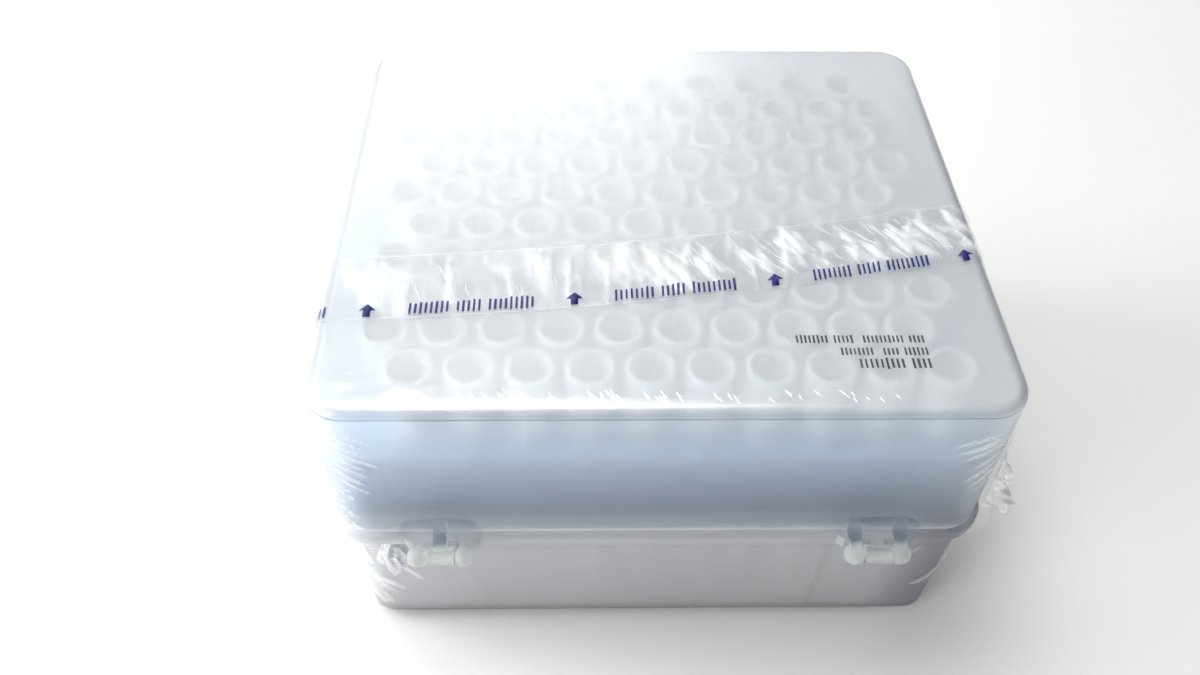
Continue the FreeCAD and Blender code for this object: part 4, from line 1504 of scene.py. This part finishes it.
@dataclass
class PullTape:
    """The crinkled pull tape across the roof and down both sides."""

    sizes: BoxSizes
    groups: Groups
    tape: ClearFilm = ClearFilm(
        "tape_film", least_mirror=0.02, most_mirror=0.3, line_haze=0.05, crease_haze=0.23, roughness=0.16,
        line_scale=260.0, line_depth=0.12, stretch=(1.0, 0.4, 1.0))
    material: bpy.types.Material = field(init=False)
    start: float = -36.0 * MM
    end: float = -17.5 * MM
    width: float = 17.5 * MM
    bend_radius: float = 800.0 * MM
    overrun: float = 8.0 * MM
    offset: float = 0.42 * MM
    wall: float = 0.06 * MM
    spacing: float = 0.5 * MM
    foot_gap: float = 6.0 * MM
    crease_lift: float = 0.5 * MM
    # painted highlight: a thin white line along both edges of the tape, half as strong at the near edge
    rim: float = 0.35 * MM
    rim_crease: float = 0.55
    near_rim_share: float = 0.5
    # how white the fine folds turn: partly the film's own whitening, partly painted highlight
    fold_whiteness: float = 0.9

    def __post_init__(self) -> None:
        """Builds the tape's material."""
        self.material = self.tape.build(self.groups)

    def near_edge(self, x: Array) -> Array:
        """The y of the tape's near edge, which sweeps across the roof in a shallow arc.

        Args:
            x: Where.

        Returns:
            The near edge's y.
        """
        reach = self.sizes.half_width + self.overrun
        chord = np.array([2 * reach, self.end - self.start])
        length = float(np.hypot(*chord))
        across = np.array([-chord[1], chord[0]]) / length
        middle = np.array([0.0, (self.start + self.end) / 2])
        centre = middle + across * math.sqrt(self.bend_radius**2 - (length / 2) ** 2)
        return centre[1] - np.sqrt(self.bend_radius**2 - (x - centre[0]) ** 2)

    def lid_spreads(self) -> list[Spread]:
        """The crinkles over the lid, over the distance along the tape and from its near edge.

        Returns:
            The spreads.
        """
        edge = self.sizes.half_width
        return [
            Spread(41, 34, (-edge, 5 * MM), mm(5, 14), (1.5, 2.1), mm(7, 15), mm(0.5, 1.1), mm(0.1, 0.3)),
            Spread(42, 46, (-5 * MM, edge), mm(5, 14), (2.0, 2.35), mm(5, 13), mm(0.4, 0.9), mm(0.18, 0.42)),
            Spread(44, 26, (20 * MM, edge), mm(4, 16), (1.9, 2.5), mm(3, 7), mm(0.35, 0.6), mm(0.15, 0.35)),
            Spread(47, 26, (-edge, 12 * MM), mm(5, 13), (1.3, 1.9), mm(8, 15), mm(1.1, 2.2), mm(0.08, 0.2)),
            Spread(43, 40, (-edge, edge), (0.0, 4 * MM), (1.8, 2.4), mm(2, 4), mm(0.3, 0.45), mm(0.03, 0.1)),
            Spread(45, 30, (-1.5 * edge, 1.5 * edge), mm(3, 16), (1.2, 2.0),
                   mm(6, 14), mm(0.5, 0.9), mm(0.1, 0.3)),
        ]

    def fold_spreads(self) -> list[Spread]:
        """The fine, sharp folds over the lid, mostly towards +X, where the tape is drawn tight.

        Returns:
            The spreads.
        """
        edge, width, height = self.sizes.half_width, mm(0.09, 0.17), mm(0.03, 0.08)
        return [
            Spread(48, 44, (2 * MM, edge - 2 * MM), mm(5, 15), (2.0, 2.35), mm(2.5, 7), width, height),
            Spread(49, 30, (20 * MM, edge - 4 * MM), mm(3, 15), (1.9, 2.5), mm(1, 3), width, height),
            Spread(50, 16, (-edge, 4 * MM), mm(4, 14), (1.4, 2.0), mm(2, 6), width, height),
        ]

    def side_spreads(self) -> list[Spread]:
        """The crinkles over one side of the base."""
        return [Spread(46, 18, (0.0, 28 * MM), mm(3, 15), (1.1, 2.1),
                       mm(5, 12), mm(0.5, 0.9), mm(0.08, 0.25))]

    def stretch(self, part: Part) -> Stretch:
        """The tape's stretch over one of the two parts.

        Args:
            part: The part.

        Returns:
            The stretch.
        """
        if part is Part.LID:
            rings, spreads = self.sizes.lid_profile(self.offset, self.spacing), self.lid_spreads()
        else:
            rings, spreads = self.sizes.tray_profile(self.offset, self.spacing)[::-1], self.side_spreads()
        return Stretch(self.sizes.half_width, rings, part is Part.LID, ridges_of(spreads))

    def build_strip(self, name: str, part: Part, node: str, spans: Sequence[tuple[float, float]]) -> Any:
        """Builds one piece of tape.

        Args:
            name: The piece's name.
            part: The part that it lies on.
            node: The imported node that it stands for.
            spans: Where along the tape it starts and ends; a side below zero is at -X.

        Returns:
            The piece.
        """
        stretch = self.stretch(part)
        points, faces, creases, count = [], [], [], 0
        for low, high in spans:
            along = np.linspace(low, high, int((high - low) / self.spacing) + 1)
            across = np.linspace(0.0, self.width, int(self.width / self.spacing) + 1)
            a, b = (grid.ravel() for grid in np.meshgrid(along, across, indexing="ij"))
            number = count + np.arange(a.size).reshape(len(along), len(across))
            lift = stretch.lift(a, b)
            far, near = np.exp(-(((self.width - b) / self.rim) ** 2)), np.exp(-((b / self.rim) ** 2))
            points.append(stretch.place(self.near_edge, a, b, lift))
            # the folds' whitening, and a painted highlight along both edges
            creases.append(lift / self.crease_lift + self.rim_crease * (far + self.near_rim_share * near))
            faces += grid_faces(number).tolist()
            count += a.size
        piece = new_piece(name, np.concatenate(points), faces, self.material)
        mark_creases(piece, np.concatenate(creases))
        thicken(piece, self.wall)
        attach(piece, part.value)
        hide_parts(node)
        report(piece)
        return piece

    def build_folds(self) -> None:
        """Builds the fine folds on the tape over the lid, whitened: partly the film's own whitening, partly
        painted highlight.
        """
        stretch, forms = self.stretch(Part.LID), []
        for ridge in ridges_of(self.fold_spreads()):
            form, sides = pleat_form(ridge, self.wall / 2)
            a, b, height = form.T
            forms.append((stretch.place(self.near_edge, a, b, stretch.lift(a, b) + height), sides))
        piece = join_pleats("tape_folds", forms, self.fold_whiteness, self.material)
        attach(piece, Part.LID.value)
        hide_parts("pull_tape_lid")
        report(piece)

    def build(self) -> None:
        """Builds the tape's stretches, over the lid and over the base, and its fine folds."""
        half = self.stretch(Part.LID).end
        self.build_strip("tape_over_lid", Part.LID, "pull_tape_lid", [(-half, half)])
        self.build_folds()
        low = self.stretch(Part.BASE).distance_to(self.sizes.foot + self.foot_gap)
        start = self.spacing / 100  # just off the parting, since zero has no side
        self.build_strip("tape_over_base", Part.BASE, "pull_tape_base", [(-low, -start), (start, low)])


@dataclass(frozen=True)
class Strokes:
    """How the upright strokes that stand for a line of print vary.

    Each value goes to the input of the strokes' node tree that has its name.
    """

    seed: int
    narrowest: float = 0.75
    shortest: float = 0.72
    columns: int = 3
    rows: int = 5


def stroke_tree() -> bpy.types.NodeTree:
    """Builds the geometry nodes that set one small rectangle, of its own width and height, on each point.

    Returns:
        The group. Each point's size attribute gives its rectangle's full width and height.
    """
    inputs = {
        "Geometry": ("Geometry", None),
        "Narrowest": ("Float", 0.75),
        "Shortest": ("Float", 0.8),
        "Columns": ("Int", 3),
        "Rows": ("Int", 5),
        "Seed": ("Int", 0),
        "Finish": ("Material", None),
    }
    graph, given = new_group("printed_strokes", "GeometryNodeTree", inputs, {"Geometry": "Geometry"})
    shares = {"X": given["Narrowest"], "Y": given["Shortest"], "Z": 1.0}
    least = graph.add("ShaderNodeCombineXYZ", shares).outputs[0]
    share = graph.add("FunctionNodeRandomValue", {0: least, 1: (1.0, 1.0, 1.0), "Seed": given["Seed"]},
                      data_type="FLOAT_VECTOR").outputs[0]
    full = graph.add("GeometryNodeInputNamedAttribute", {"Name": STROKE_SIZE},
                     data_type="FLOAT_VECTOR").outputs[0]
    scale = graph.add("ShaderNodeVectorMath", {0: full, 1: share}, operation="MULTIPLY").outputs[0]
    cells = {"Size X": 1.0, "Size Y": 1.0, "Vertices X": given["Columns"], "Vertices Y": given["Rows"]}
    stroke = graph.add("GeometryNodeMeshGrid", cells).outputs["Mesh"]
    strewn = {"Points": given["Geometry"], "Instance": stroke, "Scale": scale}
    placed = graph.add("GeometryNodeInstanceOnPoints", strewn).outputs[0]
    plain = graph.add("GeometryNodeRealizeInstances", {"Geometry": placed}).outputs[0]
    inked = {"Geometry": plain, "Material": given["Finish"]}
    finished = graph.add("GeometryNodeSetMaterial", inked).outputs[0]
    graph.add("NodeGroupOutput", {"Geometry": finished})
    return graph.tree


@dataclass(frozen=True)
class Line:
    """A line of generic print: where it starts and ends, its height, and the strokes that fill it."""

    start: float
    end: float
    low: float
    height: float
    pitch: float
    breaks: tuple[int, ...] = ()
    inked: float = 0.5

    def cells(self) -> Array:
        """Lays out the line's strokes, without those where it breaks.

        Returns:
            The middle, width and height of each stroke.
        """
        count = int(round((self.end - self.start) / self.pitch))
        middle, width = self.low + self.height / 2, self.inked * self.pitch
        return np.array([(self.start + (index + 0.5) * self.pitch, middle, width, self.height)
                         for index in range(count) if index not in self.breaks])


@dataclass
class Print:
    """The generic marks printed on the pull tape and on the lid: strokes and arrows, and no letters."""

    sizes: BoxSizes
    tape: PullTape
    tape_ink: Ink = Ink("tape_ink", (0.014, 0.011, 0.14), (0.06, 0.05, 0.24))
    lid_ink: Ink = Ink("lid_ink", (0.015, 0.018, 0.022), (0.11, 0.12, 0.14), speck_scale=2600.0)
    strokes: Strokes = Strokes(seed=7)
    arrow_first: float = -94.6 * MM
    arrow_pitch: float = 38.93 * MM
    arrow_count: int = 6
    arrow_height: float = 3.2 * MM
    arrow_width: float = 3.2 * MM
    arrow_neck: float = 1 / 4.5
    arrow_shoulder: float = 0.5
    arrow_margin: float = 2 / 3
    mark_low: float = 0.9 * MM
    mark_height: float = 3.3 * MM
    group_length: float = 24.0 * MM
    group_breaks: tuple[int, ...] = (8, 14)
    stroke_pitch: float = 1.0 * MM
    ink: float = 0.02 * MM
    clearance: float = 0.05 * MM
    tree: bpy.types.NodeTree = field(init=False)

    def __post_init__(self) -> None:
        """Builds the geometry nodes."""
        self.tree = stroke_tree()

    def stroke_piece(self, name: str, cells: Array, material: bpy.types.Material) -> Any:
        """Lays upright strokes out flat, at z = 0.

        Args:
            name: The piece's name.
            cells: Middle, width and height of each stroke.
            material: Its material.

        Returns:
            The piece, as plain mesh.
        """
        points = np.column_stack([cells[:, :2], np.zeros(len(cells))])
        piece = new_piece(name, points, [], material)
        layer = piece.data.attributes.new(STROKE_SIZE, "FLOAT_VECTOR", "POINT")
        layer.data.foreach_set("vector", np.column_stack([cells[:, 2:], np.ones(len(cells))]).ravel())
        modifier = piece.modifiers.new("strokes", "NODES")
        modifier.node_group = self.tree
        values = {name.capitalize(): value for name, value in asdict(self.strokes).items()}
        values["Finish"] = material
        for item in self.tree.interface.items_tree:
            if item.in_out == "INPUT" and item.name in values:
                modifier[item.identifier] = values[item.name]
        plain_mesh(piece)
        return piece

    def arrow_piece(self, name: str, places: Sequence[float], material: bpy.types.Material) -> Any:
        """Lays short, fat arrows out flat, at z = 0, pointing away from the tape's near edge.

        Args:
            name: The piece's name.
            places: Where each arrow's middle lies along the tape.
            material: Its material.

        Returns:
            The piece.
        """
        half, neck, top = self.arrow_width / 2, self.arrow_width * self.arrow_neck, self.arrow_height
        shoulder = top * self.arrow_shoulder
        outline = [(-neck, 0.0), (neck, 0.0), (neck, shoulder), (half, shoulder), (0.0, top),
                   (-half, shoulder), (-neck, shoulder)]
        points, faces = [], []
        for place in places:
            count = len(points)
            points += [(place + x, self.mark_low + y, 0.0) for x, y in outline]
            faces += [[count, count + 1, count + 2, count + 6], [count + index for index in (6, 2, 3, 4, 5)]]
        return new_piece(name, np.array(points), faces, material)

    def lay_on_tape(self, piece: Any, part: Part) -> None:
        """Bends a flat piece over the tape, gives it the ink's thickness and lets it ride.

        Args:
            piece: The flat piece, with the distance along the tape as its x and across the tape as its y.
            part: The part that the tape lies on there.
        """
        stretch = self.tape.stretch(part)
        a, b, _ = places_of(piece).T
        places = stretch.place(self.tape.near_edge, a, b, stretch.lift(a, b) + self.clearance)
        self.finish(piece, places, part, Slot.TAPE)

    def finish(self, piece: Any, places: Array, part: Part, slot: Slot) -> None:
        """Lays a flat piece in its place, gives it the ink's thickness and lets it ride.

        Args:
            piece: The piece.
            places: Where its vertices go.
            part: The part that it rides on.
            slot: Not used.
        """
        piece.data.vertices.foreach_set("co", places.ravel())
        thicken(piece, self.ink, offset=1.0)
        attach(piece, part.value)
        report(piece)

    def tape_cells(self, end: float) -> Array:
        """Lays out the strokes of the groups that lie between the arrows.

        Args:
            end: How far from the roof's middle the print goes.

        Returns:
            The middle, width and height of each stroke.
        """
        middles = self.arrow_first + self.arrow_pitch * (np.arange(-1, self.arrow_count) + 0.5)
        half = self.group_length / 2
        lines = [Line(middle - half, middle + half, self.mark_low, self.mark_height, self.stroke_pitch,
                      self.group_breaks) for middle in middles]
        cells = np.concatenate([line.cells() for line in lines])
        return cells[np.abs(cells[:, 0]) < end]

    def build_tape_print(self) -> None:
        """Builds the marks over the lid, up to where the tape is parted."""
        ink = self.tape_ink.build()
        end = self.tape.stretch(Part.LID).end - self.arrow_margin * self.arrow_width
        self.lay_on_tape(self.stroke_piece("tape_strokes", self.tape_cells(end), ink), Part.LID)
        arrows = self.arrow_first + self.arrow_pitch * np.arange(self.arrow_count)
        self.lay_on_tape(self.arrow_piece("tape_arrows", arrows[np.abs(arrows) < end], ink), Part.LID)

    def build_lid_print(self) -> None:
        """Builds the three short dark lines on the lid, under the film."""
        lines = [
            Line(*mm(24.0, 48.3, -40.8, 2.1, 0.78), (8, 14, 15, 26)),
            Line(*mm(31.9, 48.5, -43.8, 2.0, 0.78), (8, 9, 14)),
            Line(*mm(34.8, 48.6, -47.1, 2.8, 0.96), (9,)),
        ]
        cells = np.concatenate([line.cells() for line in lines])
        piece = self.stroke_piece("lid_print", cells, self.lid_ink.build())
        places = places_of(piece)
        places[:, 2] = self.sizes.lid_top + self.clearance
        self.finish(piece, places, Part.LID, Slot.LID)

    def build(self) -> None:
        """Builds all the marks."""
        self.build_tape_print()
        self.build_lid_print()


@dataclass(frozen=True)
class Lamp:
    """A square soft lamp."""

    name: str
    place: tuple[float, float, float]
    size: float
    watts: float
    colour: Colour = (1.0, 1.0, 1.0)
    target_height: float = 40.0 * MM

    def hang(self) -> None:
        """Hangs the lamp in its place, so that it points at the box."""
        data = bpy.data.lights.new(self.name, "AREA")
        data.shape = "SQUARE"
        data.size, data.energy, data.color = self.size, self.watts, self.colour
        lamp = bpy.data.objects.new(self.name, data)
        lamp.location = self.place
        x, y, z = self.place
        lamp.rotation_euler = (math.atan2(math.hypot(x, y), z - self.target_height), 0.0, math.atan2(x, -y))
        bpy.context.scene.collection.objects.link(lamp)


@dataclass
class Studio:
    """The floor, the lamps and the camera."""

    lamps: tuple[Lamp, ...] = (
        Lamp("ceiling", (-0.13, 0.18, 0.8), 0.4, 3.1, (1.0, 0.995, 0.985)),
        Lamp("window", (-0.6, 0.1, 0.25), 0.3, 3.2),
        Lamp("front", (-0.5, -0.35, 0.2), 0.3, 1.8),
        Lamp("back", (-0.1, 0.73, 0.43), 0.4, 1.1, (1.0, 0.99, 0.97)),
    )
    floor_half: float = 3.0
    floor_colour: Colour = (0.965, 0.963, 0.96)
    floor_cloud: Colour = (0.95, 0.948, 0.945)
    floor_cloud_scale: float = 9.0
    floor_cloud_turn: Span = (0.3, 0.7)
    floor_roughness: float = 0.5
    camera_place: tuple[float, float, float] = (-0.0156065, -0.169572, 0.2183837)
    camera_turn: tuple[float, float, float] = (42.3253, -0.7102, -0.7988)
    focal_share: float = 1049.228 / 1200.0
    sensor: float = 36.0
    clip_start: float = 5.0 * MM
    world_left: float = 0.74
    world_right: float = 0.1
    backdrop: float = 0.9
    transparent_bounces: int = 24
    bounces: int = 9
    plain_bounces: int = 3

    def build_floor(self) -> None:
        """Makes the pale floor."""
        material, graph = new_material("pale_floor")
        cloud = graph.noise(graph.place(), self.floor_cloud_scale, detail=2.0)
        share = graph.remap(cloud, *self.floor_cloud_turn)
        colour = graph.blend(share, rgba(self.floor_colour), rgba(self.floor_cloud))
        graph.end_material({"Base Color": colour, "Roughness": self.floor_roughness})
        half = self.floor_half
        points = np.array([(-half, -half, 0.0), (half, -half, 0.0), (half, half, 0.0), (-half, half, 0.0)])
        floor = new_piece("floor", points, [[0, 1, 2, 3]], material)

    def build_world(self) -> None:
        """Makes the soft surroundings."""
        world = bpy.data.worlds.new("studio")
        bpy.context.scene.world = world
        world.use_nodes = True
        graph = Graph(world.node_tree)
        way = graph.axes(graph.add("ShaderNodeTexCoord").outputs["Generated"])
        light = graph.remap(way["X"], -1.0, 1.0, self.world_left, self.world_right)
        seen = graph.add("ShaderNodeLightPath").outputs["Is Camera Ray"]
        strength = graph.remap(seen, 0.0, 1.0, light, self.backdrop)
        background = graph.add("ShaderNodeBackground", {"Color": (1.0, 1.0, 1.0, 1.0), "Strength": strength})
        graph.add("ShaderNodeOutputWorld", {"Surface": background.outputs[0]})

    def build_camera(self) -> None:
        """Places the camera."""
        data = bpy.data.cameras.new("camera")
        data.sensor_fit = "HORIZONTAL"
        data.sensor_width = self.sensor
        data.lens = self.focal_share * self.sensor
        data.clip_start = self.clip_start
        camera = bpy.data.objects.new("camera", data)
        camera.location = self.camera_place
        camera.rotation_euler = [math.radians(angle) for angle in self.camera_turn]
        bpy.context.scene.collection.objects.link(camera)
        bpy.context.scene.camera = camera

    def build(self) -> None:
        """Builds the stage."""
        self.build_floor()
        self.build_world()
        for lamp in self.lamps:
            lamp.hang()
        self.build_camera()
        bpy.context.scene.view_settings.view_transform = "Standard"
        light = bpy.context.scene.cycles
        light.transparent_max_bounces = self.transparent_bounces
        light.max_bounces = light.transmission_bounces = self.bounces
        light.diffuse_bounces = light.glossy_bounces = self.plain_bounces


def main() -> None:
    """Builds the scene."""
    logging.basicConfig(level=logging.INFO, format="%(message)s")
    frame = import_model()
    groups = Groups()
    sizes = BoxSizes()
    MouldedPieces(groups, frame["nodes"]).dress()
    for film in (ShrinkFilm, FilmEar, FilmWad):
        film(sizes, groups).build()
    pull_tape = PullTape(sizes, groups)
    pull_tape.build()
    Print(sizes, pull_tape).build()
    Studio().build()


if __name__ == "__main__":
    main()
